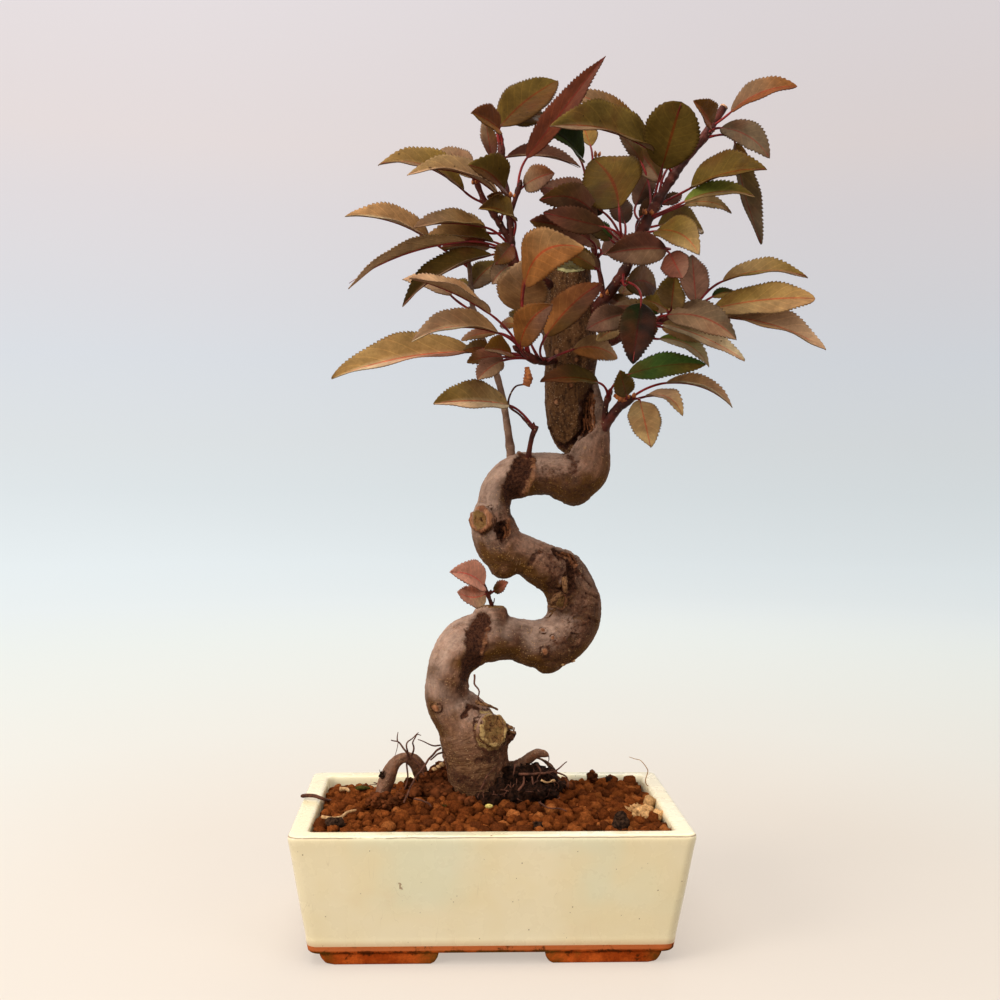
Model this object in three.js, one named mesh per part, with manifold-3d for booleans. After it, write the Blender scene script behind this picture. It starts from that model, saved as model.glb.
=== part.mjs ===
// Apple bonsai with a winding trunk, in a rectangular glazed pot on four feet.
// Millimetres, +Z up, X to the viewer's right and Y away from the viewer.
import * as THREE from "three";
import { mergeVertices } from "three/addons/utils/BufferGeometryUtils.js";
import Module from "manifold-3d";

const wasm = await Module();
wasm.setup();

// Driving dimensions
const gap = 0.3;
const potLength = 180;
const potDepth = 120;
const potHeight = 60;
const potWall = 9;
const potTaper = 8.5;
const potFloor = 8;
const footHeight = 5.6;
const footLength = 52;
const footReturn = 30;
const footThickness = 13;
const footSlope = 4;
const drainRadius = 6;
const drainOffset = 40;
const soilTop = 56.5;
const moundHeight = 8;
const granule = 5.5;
const leafThickness = 0.65;
const leafSlenderness = 2.3;
const leafLean = 26;
const stalkWidth = 0.8;
const stemStep = 12;

// The camera of the photograph, worked out from the pot's rim and feet.
// Its frame is the pot's: the origin lies on the ground under the pot's middle.
const eye = new THREE.Vector3(-22.7, -617.3, 219.9);
const eyeTurn = THREE.MathUtils.degToRad(2.487);
const eyeDip = THREE.MathUtils.degToRad(1.379);
const eyeRoll = THREE.MathUtils.degToRad(0.467);
const focalPixels = 1289.3;
const pictureMiddle = 500;

const forward = new THREE.Vector3(
  Math.sin(eyeTurn) * Math.cos(eyeDip),
  Math.cos(eyeTurn) * Math.cos(eyeDip),
  -Math.sin(eyeDip),
);
const level = new THREE.Vector3(Math.cos(eyeTurn), -Math.sin(eyeTurn), 0);
const pictureRight = level.clone().applyAxisAngle(forward, -eyeRoll);
const pictureUp = pictureRight.clone().cross(forward);

// The point that the photograph shows at a pixel, at a depth behind the pot's middle.
function seen(px, py, depth) {
  const ray = forward.clone();
  ray.addScaledVector(pictureRight, (px - pictureMiddle) / focalPixels);
  ray.addScaledVector(pictureUp, (pictureMiddle - py) / focalPixels);
  return ray.multiplyScalar((depth - eye.y) / ray.y).add(eye);
}

// Closed meshes to solids and back
function solid(geometry) {
  const bare = geometry.clone();
  bare.deleteAttribute("normal");
  bare.deleteAttribute("uv");
  const merged = mergeVertices(bare, 1e-4);
  return new wasm.Manifold(
    new wasm.Mesh({
      numProp: 3,
      vertProperties: new Float32Array(merged.attributes.position.array),
      triVerts: new Uint32Array(merged.index.array),
    }),
  );
}

function geometryOf(body) {
  const mesh = body.getMesh();
  const geometry = new THREE.BufferGeometry();
  geometry.setAttribute("position", new THREE.BufferAttribute(mesh.vertProperties, 3));
  geometry.setIndex(new THREE.BufferAttribute(mesh.triVerts, 1));
  geometry.computeVertexNormals();
  return geometry;
}

function joined(bodies) {
  return bodies.reduce((sum, body) => sum.add(body));
}

// Builds a closed mesh from points and triangles, and turns it outward if it is inside out.
function closedMesh(points, triangles) {
  let volume = 0;
  for (const [a, b, c] of triangles) {
    volume += points[a].dot(points[b].clone().cross(points[c]));
  }
  const index = triangles.flatMap(([a, b, c]) => (volume > 0 ? [a, b, c] : [a, c, b]));
  const geometry = new THREE.BufferGeometry().setFromPoints(points);
  geometry.setIndex(index);
  return geometry;
}

// Joins rings of equal counts into a closed skin, with a flat fan over each end.
function loft(rings) {
  const count = rings[0].length;
  const points = rings.flat();
  const triangles = [];
  for (let r = 0; r < rings.length - 1; r++) {
    for (let i = 0; i < count; i++) {
      const a = r * count + i;
      const b = r * count + ((i + 1) % count);
      triangles.push([a, b, b + count], [a, b + count, a + count]);
    }
  }
  const last = (rings.length - 1) * count;
  for (let i = 1; i < count - 1; i++) {
    triangles.push([0, i + 1, i], [last, last + i, last + i + 1]);
  }
  return closedMesh(points, triangles);
}

// Wood: tapered limbs along curves. A row is px, py, depth and radius.
function limbCurve(rows) {
  const points = rows.map(([px, py, depth]) => seen(px, py, depth));
  return new THREE.CatmullRomCurve3(points, false, "centripetal");
}

// The middles of a limb's rings, evenly spaced along its curve
function limbMiddles(rows, step) {
  const curve = limbCurve(rows);
  return curve.getSpacedPoints(Math.max(2, Math.round(curve.getLength() / step)));
}

function limb(rows, { sides, step, grow = 0 }) {
  const curve = limbCurve(rows);
  const count = Math.max(2, Math.round(curve.getLength() / step));
  const frames = curve.computeFrenetFrames(count, false);
  const rings = [];
  for (let i = 0; i <= count; i++) {
    const t = curve.getUtoTmapping(i / count);
    const place = t * (rows.length - 1);
    const row = Math.min(Math.floor(place), rows.length - 2);
    const radius = THREE.MathUtils.lerp(rows[row][3], rows[row + 1][3], place - row) + grow;
    const middle = curve.getPoint(t);
    const push = i === 0 ? -grow : i === count ? grow : 0;
    middle.addScaledVector(frames.tangents[i], push);
    const ring = [];
    for (let k = 0; k < sides; k++) {
      const angle = (2 * Math.PI * k) / sides;
      const point = middle.clone();
      point.addScaledVector(frames.normals[i], radius * Math.cos(angle));
      point.addScaledVector(frames.binormals[i], radius * Math.sin(angle));
      ring.push(point);
    }
    rings.push(ring);
  }
  return solid(loft(rings));
}

// The trunk winds left, right, left and right again, then ends in a narrow knee.
const trunkRows = [
  [484, 852, 0, 11],
  [482, 800, -1, 12.5],
  [478, 774, -2, 14.4],
  [474, 748, -3, 16.1],
  [465, 722, -4, 15.6],
  [450, 700, -6, 11.2],
  [447, 680, -7, 9.8],
  [453, 659, -7, 10.8],
  [466, 644, -6, 12.2],
  [490, 638, -4, 11.8],
  [515, 639, -2, 9.9],
  [536, 644, 0, 11.3],
  [556, 641, 2, 13],
  [571, 625, 4, 12.6],
  [574, 603, 4, 13],
  [562, 577, 1, 11.8],
  [545, 566, -1, 10.9],
  [527, 556, -3, 9.2],
  [502, 547, -5, 12],
  [493, 523, -6, 10.2],
  [494, 504, -6, 8.1],
  [499, 488, -5, 8.6],
  [517, 477, -3, 10.2],
  [535, 474, -1, 9.8],
  [552, 474, 0, 10.1],
  [570, 477, 0, 12.6],
  [585, 468, -1, 11.4],
  [593, 447, -2, 8.7],
  [598, 430, 0, 5.8],
  [598, 413, 3, 4.8],
  [596, 400, 5, 3.8],
  [591, 384, 7, 3],
];

// The old upright stub behind the knee, sawn off slanting toward the viewer
const stubRows = [
  [576, 464, 6, 9.5],
  [572, 442, 9, 10.6],
  [569, 415, 10, 11.4],
  [569, 385, 9, 11.6],
  [571, 352, 8, 12.9],
  [568, 310, 7, 12.2],
  [568, 285, 6.5, 11.2],
  [569, 250, 6, 8.8],
];
const stubCut = { px: 569.6, py: 266.5, depth: 5, tilt: 35 };

// Sawn and torn side stubs, then roots. Each starts inside the trunk.
const sideLimbs = [
  [[490, 634, -5, 11], [491.5, 606.5, -5, 6.9]],
  [[482, 732, -4, 9], [494.5, 728.7, -18.5, 7]],
  [[491, 522, -7, 6.5], [480, 519.7, -17.5, 4.8]],
  [[500, 741, -4, 5], [516, 733, -4, 1.2]],
  [[563, 588, -6, 3], [563.5, 583, -13.5, 1.6]],
];
const roots = [
  [[446, 796, 3, 7], [480, 800, 3, 11], [520, 796, 3, 11], [552, 800, 4, 7]],
  [[386, 812, -8, 3.6], [388, 790, -8, 3.6], [395, 766, -7, 3.6], [407, 757, -6, 3.7],
    [421, 767, -4, 3.8], [444, 789, 0, 5]],
  [[500, 774, 0, 5], [518, 760, -1, 4.1], [530, 752.5, -3, 3.6], [541, 752, -5, 2.5],
    [549, 756, -6, 1]],
  [[536, 754, -1, 2.4], [550, 760, 1, 2.5], [556, 774, 2, 2.6], [547, 790, 3, 3.4]],
];

function trunkBody(grow) {
  const thick = { sides: 12, step: 8, grow };
  const thin = { sides: 6, step: 7, grow };
  const stub = limb(stubRows, thick);
  const middle = seen(stubCut.px, stubCut.py, stubCut.depth);
  const saw = new THREE.BoxGeometry(60, 60, 60);
  saw.translate(0, 0, 30 + grow);
  saw.rotateX(THREE.MathUtils.degToRad(stubCut.tilt));
  saw.translate(middle.x, middle.y, middle.z);
  const parts = [limb(trunkRows, thick), stub.subtract(solid(saw))];
  for (const rows of [...sideLimbs, ...roots]) {
    parts.push(limb(rows, thin));
  }
  return joined(parts);
}

// Leafy stems. Rows are px, py, depth and radius, and the first lies inside what carries it.
const stems = {
  left_whip: [[512, 462, -2, 2.4], [508, 431, -7, 1.8], [502, 395, -10, 1.6],
    [494, 367, -12, 1.5], [481, 335, -13, 1.4], [473, 309, -13, 1.3], [471, 290, -13, 1.1],
    [469, 262, -13, 0.9]],
  left_spray: [[558, 290, 3, 2.4], [534, 275, -7, 2.2], [513, 262, -12, 2],
    [511, 236, -13, 1.8], [509, 205, -12, 1.5], [503, 170, -8, 1.3], [501, 142, -7, 1.2]],
  left_side: [[511, 244, -13, 1.4], [500, 224, -15, 1.4], [484, 200, -18, 1.3],
    [476, 181, -18, 1.2]],
  middle_spur: [[509.5, 215, -12, 1.2], [515, 200, -14, 1.1], [519, 187, -14, 1]],
  red_spur: [[558, 361, 2, 1.7], [541, 361, -12, 1.6], [533, 359, -17, 1.6],
    [519, 350, -19, 1.3]],
  right_branch: [[588, 316, 5, 3.2], [606, 297, -3, 3], [625, 270, -9, 2.8],
    [641, 232, -12, 2.7], [655, 206, -12, 2.7], [680, 166, -10, 2.5], [704, 137, -8, 2.4],
    [724, 107, -6, 2.3]],
  right_spur: [[634, 250, -10, 1.5], [628, 247, -14, 1.5], [621, 245, -16, 1.3]],
  right_riser: [[604, 298, -2, 1.3], [600, 275, -3, 1.2], [594, 252, -3, 1]],
  right_twig: [[588, 350, 6, 2.6], [603, 345, -3, 2.2], [624, 335, -10, 1.9],
    [650, 324, -15, 1.8], [668, 318, -18, 1.8], [698, 311, -20, 1.3], [708, 311, -20, 1]],
  knee_branch: [[600, 434, -2, 2.6], [611, 417, -7, 2.3], [622, 404, -11, 2.1],
    [632, 398, -13, 1.9]],
  knee_spur: [[604, 424, -4, 1.5], [606, 405, -9, 1.3], [609, 395, -10, 1.1]],
  forked_spur: [[529, 462, -4, 1.5], [529, 449, -11, 1.1], [533, 426, -14, 0.9]],
  forked_bud: [[533, 427, -14, 0.7], [520, 415, -17, 0.6], [508.5, 404.5, -19, 0.6],
    [516, 387, -20, 0.5], [526, 385, -21, 0.5]],
  low_shoot: [[494, 612, -5, 1.1], [490, 600, -9, 0.9], [484, 586, -14, 0.8]],
  back_top: [[572, 308, 12, 2.6], [575, 280, 30, 2.2], [580, 248, 42, 1.9],
    [586, 216, 48, 1.5]],
  back_right: [[582, 338, 12, 2.2], [602, 324, 30, 1.8], [628, 310, 44, 1.5]],
  back_left: [[558, 348, 12, 2.2], [541, 326, 28, 1.8], [524, 300, 40, 1.5]],
};

// Which stems make up each shoot
const shoots = {
  left_whip: ["left_whip"],
  left_spray: ["left_spray", "left_side", "middle_spur"],
  red_spur: ["red_spur"],
  right_branch: ["right_branch", "right_spur", "right_riser"],
  right_twig: ["right_twig"],
  knee_branch: ["knee_branch", "knee_spur"],
  forked_spur: ["forked_spur", "forked_bud"],
  low_shoot: ["low_shoot"],
  back_top: ["back_top"],
  back_right: ["back_right"],
  back_left: ["back_left"],
};

// Dried buds: stem, then px, py, depth and radius along each
const buds = [
  ["forked_bud", [[526, 386, -21, 1.6], [528, 379, -21, 2.3], [527, 367, -21, 1]]],
  ["knee_branch", [[627, 401, -13, 1.2], [620, 398, -14, 1.8], [614, 395, -14, 0.6]]],
];

// Leaves. Each row is the stem, the place on it, the blade's base px and py, its tip px and py,
// the base's and the tip's depth, the width, the turn up from facing the viewer,
// the fold of each half and the rise of the midrib.
const leaves = [
  ["left_whip", 1, 430, 240, 345, 216, -12, -20, 16, 55, 38, 3.5],
  ["left_whip", 0.9, 471, 288, 497, 262, -8, -3, 12, 10, 10, 1],
  ["left_whip", 0.88, 467, 290, 452, 281, -10, -10, 7, 30, 10, 1],
  ["left_whip", 0.78, 451.4, 296, 402.5, 280, -12, -8, 12, 40, 20, 3],
  ["left_side", 0.7, 464, 191, 379, 163, -19, -24, 18, 50, 38, 5],
  ["left_side", 1, 474, 178, 437, 152, -12, -12, 13, 20, 20, 2],
  ["left_side", 0.35, 499, 196, 408, 173.5, -20, -34, 16, 60, 35, 6],
  ["left_spray", 0.6, 504, 191, 470, 165, -30, -34, 20, 40, 35, 2],
  ["left_side", 0.5, 502, 206, 487, 196, -16, -17, 8, 10, 10, 1],
  ["left_spray", 0.42, 484, 227, 413, 228, -22, -32, 14, 58, 35, 2],
  ["left_side", 0.2, 486, 232, 444, 221, -15, -14, 11, 10, 10, 1],
  ["left_spray", 0.45, 514, 220, 480, 208.5, -19, -22, 14, 45, 38, 2],
  ["left_spray", 0.38, 494, 242, 421.5, 239, -17, -21, 14, 55, 35, 2],
  ["left_spray", 0.4, 466, 241.5, 346.6, 284.5, -23, -39, 15, 100, 38, 4],
  ["left_spray", 0.36, 490, 247, 441, 248, -13, -14, 9, 30, 10, 1],
  ["left_spray", 0.34, 492, 254.7, 402, 305, -18, -26, 21, 52, 38, 3.5],
  ["left_spray", 0.3, 511, 246, 496, 264, -24, -30, 10, 0, 10, 0],
  ["left_spray", 0.27, 509, 266, 492, 284, -3, -5, 10, 0, 10, 1],
  ["middle_spur", 1, 527, 158, 605, 55.5, -16, -26, 13, 35, 15, 0],
  ["middle_spur", 0.9, 524, 186, 555, 173, -11, -14, 12, 15, 10, 1],
  ["left_spray", 0.92, 507, 157, 580, 168, -3, 6, 13, 60, 30, 3],
  ["left_spray", 1, 500, 127, 557, 82, -8, -2, 20, 25, 15, 2],
  ["left_spray", 0.98, 502, 122, 550, 119, -2, 3, 14, 40, 15, 3],
  ["left_spray", 0.96, 499, 130, 470.5, 113, -13, -17, 16, 40, 38, 1],
  ["left_spray", 0.9, 491.5, 157, 485, 119, -2, -2, 9, 30, 10, 0],
  ["red_spur", 0.9, 525, 284, 585, 248, -38, -46, 21, 12, 12, 8],
  ["red_spur", 0.6, 521, 312, 529, 260, -18, -19, 23, 5, 8, 1],
  ["red_spur", 1, 490, 314, 409, 278, -32, -48, 17, 80, 32, 2],
  ["red_spur", 0.96, 498.6, 333, 412, 341, -24, -34, 18, 50, 38, 4.3],
  ["red_spur", 0.8, 471, 352, 331.5, 378.4, -20, -26, 23, 48, 36, 2.8],
  ["red_spur", 0.92, 511, 354, 484, 350, -23, -26, 13, 40, 30, 1],
  ["red_spur", 0.9, 496, 333, 461, 340.5, -19, -20, 7, 40, 15, 1],
  ["red_spur", 0.95, 492, 350, 464, 350, -17, -18, 8, 20, 10, 1],
  ["red_spur", 0.84, 503, 357, 467, 362.5, -26, -28, 9, 30, 10, 1],
  ["red_spur", 0.78, 502, 361, 477, 380.5, -30, -32, 10, 20, 10, 1],
  ["red_spur", 0.75, 520.5, 345, 552, 304.5, -29, -33, 15, 12, 12, 3],
  ["red_spur", 0.87, 517, 325, 500, 326, -21, -21, 6, 20, 10, 1],
  ["red_spur", 0.45, 546, 336, 602, 282, -29, -25, 16, 20, 12, 2],
  ["red_spur", 0.4, 573, 349.5, 617, 358.5, -27, -25, 12, 15, 10, 3],
  ["forked_spur", 1, 507.5, 405, 433, 404.5, -19, -25, 19, 38, 35, 1.5],
  ["low_shoot", 1, 483.5, 585.5, 451, 572.6, -15, -17, 12, 25, 20, 1],
  ["low_shoot", 0.8, 485.5, 595, 458, 594.3, -14, -15, 8, 40, 10, 1],
  ["low_shoot", 0.7, 494, 591, 508, 582, -12, -13, 6, 20, 10, 0],
  ["knee_spur", 1, 628, 375, 705.6, 366, -22, -28, 15, 35, 8, 2],
  ["knee_spur", 0.95, 598, 382.5, 540, 382, -19, -21, 13, 40, 30, 2],
  ["knee_branch", 0.9, 626.5, 396, 620, 371.5, -17, -18, 10, 8, 8, 0],
  ["knee_branch", 1, 666, 383, 732.4, 407, -16, -20, 12, 60, 35, 4],
  ["knee_branch", 0.94, 646, 396.5, 682.7, 415.3, -13, -15, 11, 50, 25, 4],
  ["knee_branch", 0.86, 640, 401, 650.5, 446, -18, -22, 15, 8, 12, 0],
  ["right_twig", 0.3, 626, 314, 587, 329, -24, -26, 13, 10, 10, 1],
  ["right_twig", 0.27, 619, 329, 597, 341, -16, -17, 8, 10, 10, 1],
  ["right_twig", 0.35, 632, 313, 607, 297, -12, -12, 9, 10, 10, 1],
  ["right_twig", 0.7, 668, 311, 643, 300, -21, -19, 9, 10, 10, 1],
  ["right_twig", 0.62, 660, 312, 613, 306, -17, -16, 8, 15, 10, 1],
  ["right_twig", 0.68, 671.5, 308, 675, 274.5, -24, -26, 14, 20, 15, 0],
  ["right_twig", 0.9, 696, 303, 692, 257, -21, -16, 14, 10, 10, 0],
  ["right_twig", 0.93, 722.5, 281.4, 808, 276, -24, -31, 15, 52, 38, 4],
  ["right_twig", 1, 713, 309, 815, 298, -26, -35, 17, 35, 10, 1.5],
  ["right_twig", 0.97, 723, 317, 826, 349.5, -22, -28, 18, 50, 38, 3],
  ["right_twig", 0.92, 731, 317.5, 756, 316, -15, -13, 6, 30, 10, 1],
  ["right_twig", 0.87, 712, 297, 736, 293, -15, -13, 6, 30, 10, 1],
  ["right_twig", 0.66, 668, 315, 736, 339, -29, -34, 16, 25, 15, 4],
  ["right_twig", 0.58, 662, 324, 744.5, 361, -24, -28, 13, 45, 25, 2],
  ["right_twig", 0.54, 662, 327, 701, 342, -19, -20, 8, 20, 10, 1],
  ["right_twig", 0.5, 659, 339, 709, 367, -12, -15, 11, 40, 25, 4],
  ["right_branch", 0.49, 662, 168, 683, 104, -15, -18, 23, 5, 8, 0],
  ["right_branch", 0.55, 668, 168, 698, 142, -7, -4, 10, 20, 10, 1],
  ["right_branch", 0.64, 660, 181, 631, 144, -5, -1, 13, 5, 10, 1],
  ["right_branch", 0.48, 642, 164, 619, 134, 1, 5, 7, 15, 10, 1],
  ["right_branch", 0.44, 636, 205, 653, 168, 2, 6, 11, 5, 10, 0],
  ["right_branch", 0.67, 652, 151, 550, 126.5, -19, -25, 27, 50, 40, 5],
  ["right_branch", 0.74, 638, 130, 566, 93, 2, 0, 12, 25, 15, 3],
  ["right_branch", 0.7, 612, 117, 552, 121, -5, -7, 10, 30, 10, 1],
  ["right_branch", 0.9, 712, 122.5, 695, 101, -12, -14, 14, 40, 35, 0],
  ["right_branch", 0.92, 733.5, 110, 792, 90, -12, -20, 18, 50, 38, 5],
  ["right_branch", 0.88, 722, 128, 769.5, 157.5, -14, -18, 18, 25, 25, 3],
  ["right_branch", 0.86, 735, 143, 762, 244, -11, -17, 17, 45, 32, -2],
  ["right_branch", 0.52, 691, 188, 764, 168.4, -17, -25, 22, 50, 38, 2],
  ["right_branch", 0.47, 684, 202, 755, 195.5, -23, -27, 12, 50, 28, 3],
  ["right_branch", 0.45, 684, 205, 732, 212.5, -13, -11, 8, 40, 15, 3],
  ["right_branch", 0.42, 658, 225.5, 702.5, 231, -9, -9, 19, 35, 30, 2],
  ["right_branch", 0.4, 656, 231, 699, 255, -20, -22, 18, 25, 25, 4],
  ["right_branch", 0.38, 640, 218, 665, 192, -4, 0, 9, 10, 10, 0],
  ["right_branch", 0.43, 661, 204, 682, 194, -3, 0, 7, 20, 10, 0],
  ["right_branch", 0.2, 634.5, 303, 630, 362, -35, -39, 18, 0, 12, 0],
  ["right_branch", 0.24, 626, 285, 656, 289, -16, -12, 15, 10, 10, 3],
  ["right_branch", 0.36, 666, 249, 606.5, 254, -31, -33, 15, 5, 8, 1],
  ["right_branch", 0.32, 670, 254, 683, 279, -34, -36, 13, 0, 8, 0],
  ["right_spur", 1, 619, 208, 594, 160, -30, -14, 29, 0, 8, 3],
  ["right_spur", 0.92, 603, 212, 538.5, 186.5, -14, -13, 16, 5, 8, 2],
  ["right_spur", 0.8, 597, 217, 540, 200, -19, -20, 14, 8, 8, 5],
  ["right_spur", 0.85, 604, 227, 543.5, 212.5, -29, -32, 12, 8, 8, 0],
  ["right_spur", 0.7, 611, 240, 587, 223, -13, -12, 9, 10, 8, 1],
  ["right_spur", 0.95, 625, 224, 617, 195, -10, -6, 11, 5, 8, 0],
  ["right_riser", 1, 590, 240, 530, 221, -13, -16, 14, 5, 8, 2],
  ["right_riser", 0.92, 600, 249, 565, 236, -4, -4, 9, 40, 10, 2],
  ["right_riser", 0.9, 595, 268, 565, 253, -9, -12, 8, 10, 10, 1],
  ["right_riser", 0.8, 598, 270, 581, 247, -7, -8, 6, 10, 10, 0],
  ["back_top", 1, 581, 161, 541, 128, 30, 22, 20, 45, 35, 3],
  ["back_top", 0.95, 590.5, 146, 580, 118, 34, 42, 12, 20, 15, 0],
  ["back_top", 0.97, 600, 198, 626, 172, 58, 74, 18, 30, 15, 3],
  ["back_top", 0.9, 572, 212, 550, 194, 58, 78, 17, 40, 20, 3],
  ["back_top", 0.7, 562, 244, 533, 258, 58, 78, 20, 35, 15, 4],
  ["back_top", 0.6, 602, 254, 645, 250, 50, 68, 16, 40, 20, 3],
  ["back_right", 1, 642, 306, 694, 318, 50, 64, 17, 40, 20, 4],
  ["back_right", 0.9, 632, 318, 646, 346, 52, 76, 16, 20, 15, 3],
  ["back_right", 0.7, 622, 296, 640, 284, 48, 70, 15, 30, 15, 3],
  ["back_left", 1, 514, 294, 508, 278, 48, 68, 14, 20, 15, 3],
  ["back_left", 0.8, 532, 312, 522, 338, 44, 68, 16, 30, 15, 3],
  ["back_left", 0.9, 532, 286, 540, 262, 48, 72, 18, 20, 15, 3],
];

// Half the blade's width along the midrib, from a rounded base to a drawn-out tip
const widest = 3.098;
function outline(t) {
  return widest * t ** 0.65 * (1 - t) ** 1.05;
}

// The places along one edge, tooth by tooth, each with its share of the outline
function teeth(count) {
  const edge = [];
  for (let k = 0; k < count; k++) {
    const point = 0.03 + (0.93 * (k + 0.75)) / count;
    edge.push([point, 1]);
    if (k < count - 1) {
      edge.push([point + 0.16 / count, 0.84]);
    }
  }
  return edge;
}

function leafFrame(base, tip, turn) {
  const along = tip.clone().sub(base).normalize();
  const face = eye.clone().sub(base);
  face.addScaledVector(along, -face.dot(along)).normalize();
  const up = along.clone().cross(face);
  if (up.z < 0) {
    up.negate();
  }
  const angle = THREE.MathUtils.degToRad(turn);
  const normal = face.clone().multiplyScalar(Math.cos(angle)).addScaledVector(up, Math.sin(angle));
  const side = up.clone().multiplyScalar(Math.cos(angle)).addScaledVector(face, -Math.sin(angle));
  return { along, up, normal, side };
}

// One leaf as one closed skin: a folded blade on a three-sided stalk that ends in the stem
function leafBody(root, base, tip, width, turn, fold, arch) {
  const { up, normal, side } = leafFrame(base, tip, turn);
  const length = base.distanceTo(tip);
  const bend = THREE.MathUtils.degToRad(fold);
  const half = leafThickness / 2 / Math.cos(bend);
  const toothCount = length > 40 ? 5 : length > 26 ? 4 : 3;
  const ribCount = toothCount - 2;
  const edge = teeth(toothCount);

  // The blade without thickness: the midrib first, then each edge
  const rib = (t) => base.clone().lerp(tip, t).addScaledVector(up, arch * 4 * t * (1 - t));
  const flat = [];
  for (let i = 0; i <= ribCount + 1; i++) {
    flat.push({ t: i / (ribCount + 1), point: rib(i / (ribCount + 1)) });
  }
  const ribEnd = flat.length - 1;
  const firstOf = [1, -1].map((way) => {
    const first = flat.length;
    for (const [t, share] of edge) {
      const reach = (width / 2) * outline(t) * share;
      const point = rib(t).addScaledVector(side, way * reach * Math.cos(bend));
      flat.push({ t, point: point.addScaledVector(normal, reach * Math.sin(bend)) });
    }
    return first;
  });

  // The upper face, the lower face and the heel where the stalk joins
  const count = flat.length;
  const points = [half, -half].flatMap((offset) =>
    flat.map(({ point }) => point.clone().addScaledVector(normal, offset)),
  );
  const heel = points.length;
  points.push(base.clone().addScaledVector(side, stalkWidth));
  const triangles = [];
  firstOf.forEach((first, s) => {
    const add = (a, b, c) => triangles.push(s === 0 ? [a, b, c] : [a, c, b]);
    let i = 0;
    let j = first;
    const last = first + edge.length - 1;
    while (i < ribEnd || j < last) {
      const takeRib = j === last || (i < ribEnd && flat[i + 1].t < flat[j + 1].t);
      const next = takeRib ? i + 1 : j + 1;
      add(i, j, next);
      add(i + count, next + count, j + count);
      if (takeRib) {
        i += 1;
      } else {
        j += 1;
      }
    }
    const rim = [0, ...edge.map((_, k) => first + k), ribEnd];
    for (let k = 0; k < rim.length - 1; k++) {
      const [a, b] = [rim[k], rim[k + 1]];
      if (a === 0 && s === 0) {
        add(a, heel, b);
        add(heel, a + count, b + count);
        add(heel, b + count, b);
      } else {
        add(a, a + count, b + count);
        add(a, b + count, b);
      }
    }
  });

  // The stalk runs on from the midrib and bends to the stem.
  const heading = tip.clone().sub(base).addScaledVector(up, 4 * arch).normalize();
  const reach = root.distanceTo(base);
  const bow = base.clone().addScaledVector(heading, -0.45 * reach);
  const curve = new THREE.QuadraticBezierCurve3(base, bow, root);
  const steps = reach > 12 ? 3 : 2;
  const handed = Math.sign(curve.getTangent(0).cross(side).dot(normal));
  const across = side.clone();
  let ring = [0, heel, count];
  for (let i = 1; i <= steps; i++) {
    const tangent = curve.getTangent(i / steps);
    across.addScaledVector(tangent, -across.dot(tangent)).normalize();
    const raised = tangent.clone().cross(across).multiplyScalar(0.7 * handed);
    const middle = curve.getPoint(i / steps);
    const next = [0, 1, 2].map((k) => points.length + k);
    points.push(
      middle.clone().addScaledVector(raised, stalkWidth),
      middle.clone().addScaledVector(across, stalkWidth),
      middle.clone().addScaledVector(raised, -stalkWidth),
    );
    for (let k = 0; k < 3; k++) {
      const l = (k + 1) % 3;
      triangles.push([ring[l], ring[k], next[k]], [ring[l], next[k], next[l]]);
    }
    ring = next;
  }
  triangles.push([ring[2], ring[1], ring[0]]);
  return solid(closedMesh(points, triangles));
}

// A blade that looks short for its width leans toward the viewer or away.
function leaf([stem, place, baseX, baseY, tipX, tipY, baseDepth, tipDepth, width, turn, fold, arch]) {
  const rings = limbMiddles(stems[stem], stemStep);
  const along = place * (rings.length - 1.2);
  const ring = Math.floor(along);
  const root = rings[ring].clone().lerp(rings[ring + 1], along - ring);
  const base = seen(baseX, baseY, baseDepth);
  const looks = base.distanceTo(seen(tipX, tipY, baseDepth));
  const hidden = Math.sqrt(Math.max(0, (leafSlenderness * width) ** 2 - looks ** 2));
  const lean = Math.max(Math.abs(tipDepth - baseDepth), Math.min(hidden, leafLean));
  const tip = seen(tipX, tipY, baseDepth + (tipDepth < baseDepth ? -lean : lean));
  return leafBody(root, base, tip, width, turn, fold, arch);
}

function shoot(names) {
  const parts = names.map((name) => limb(stems[name], { sides: 5, step: stemStep }));
  for (const [stem, rows] of buds) {
    if (names.includes(stem)) {
      parts.push(limb(rows, { sides: 5, step: 3 }));
    }
  }
  for (const row of leaves) {
    if (names.includes(row[0])) {
      parts.push(leaf(row));
    }
  }
  return joined(parts);
}

// The pot
function roundedRectangle(halfLength, halfDepth, radius, z, perCorner) {
  const ring = [];
  for (let corner = 0; corner < 4; corner++) {
    const signX = corner === 0 || corner === 3 ? 1 : -1;
    const signY = corner < 2 ? 1 : -1;
    for (let i = 0; i < perCorner; i++) {
      const angle = (Math.PI / 2) * (corner + i / (perCorner - 1));
      ring.push(
        new THREE.Vector3(
          signX * (halfLength - radius) + radius * Math.cos(angle),
          signY * (halfDepth - radius) + radius * Math.sin(angle),
          z,
        ),
      );
    }
  }
  return ring;
}

// A ring of the pot at an inset from the rim's outer edge
function potRing(inset, z, radius) {
  return roundedRectangle(potLength / 2 - inset, potDepth / 2 - inset, radius, z, 7);
}

function potBody() {
  const outside = [
    potRing(potTaper + 0.8, footHeight, 9),
    potRing(potTaper, footHeight + 1, 9),
    potRing(potTaper - 0.4, footHeight + 2.8, 9),
    potRing(0.9, potHeight - 7.5, 10),
    potRing(0, potHeight - 4.5, 10.5),
    potRing(0.5, potHeight - 1.6, 10.5),
    potRing(1.8, potHeight - 0.3, 9.5),
    potRing(potWall - 1.5, potHeight, 8),
    potRing(potWall, potHeight - 1.5, 7),
    potRing(potWall + 1, potHeight - 6, 7),
    potRing(potTaper + 5, footHeight + potFloor, 6),
  ];
  return solid(loft(outside));
}

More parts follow.
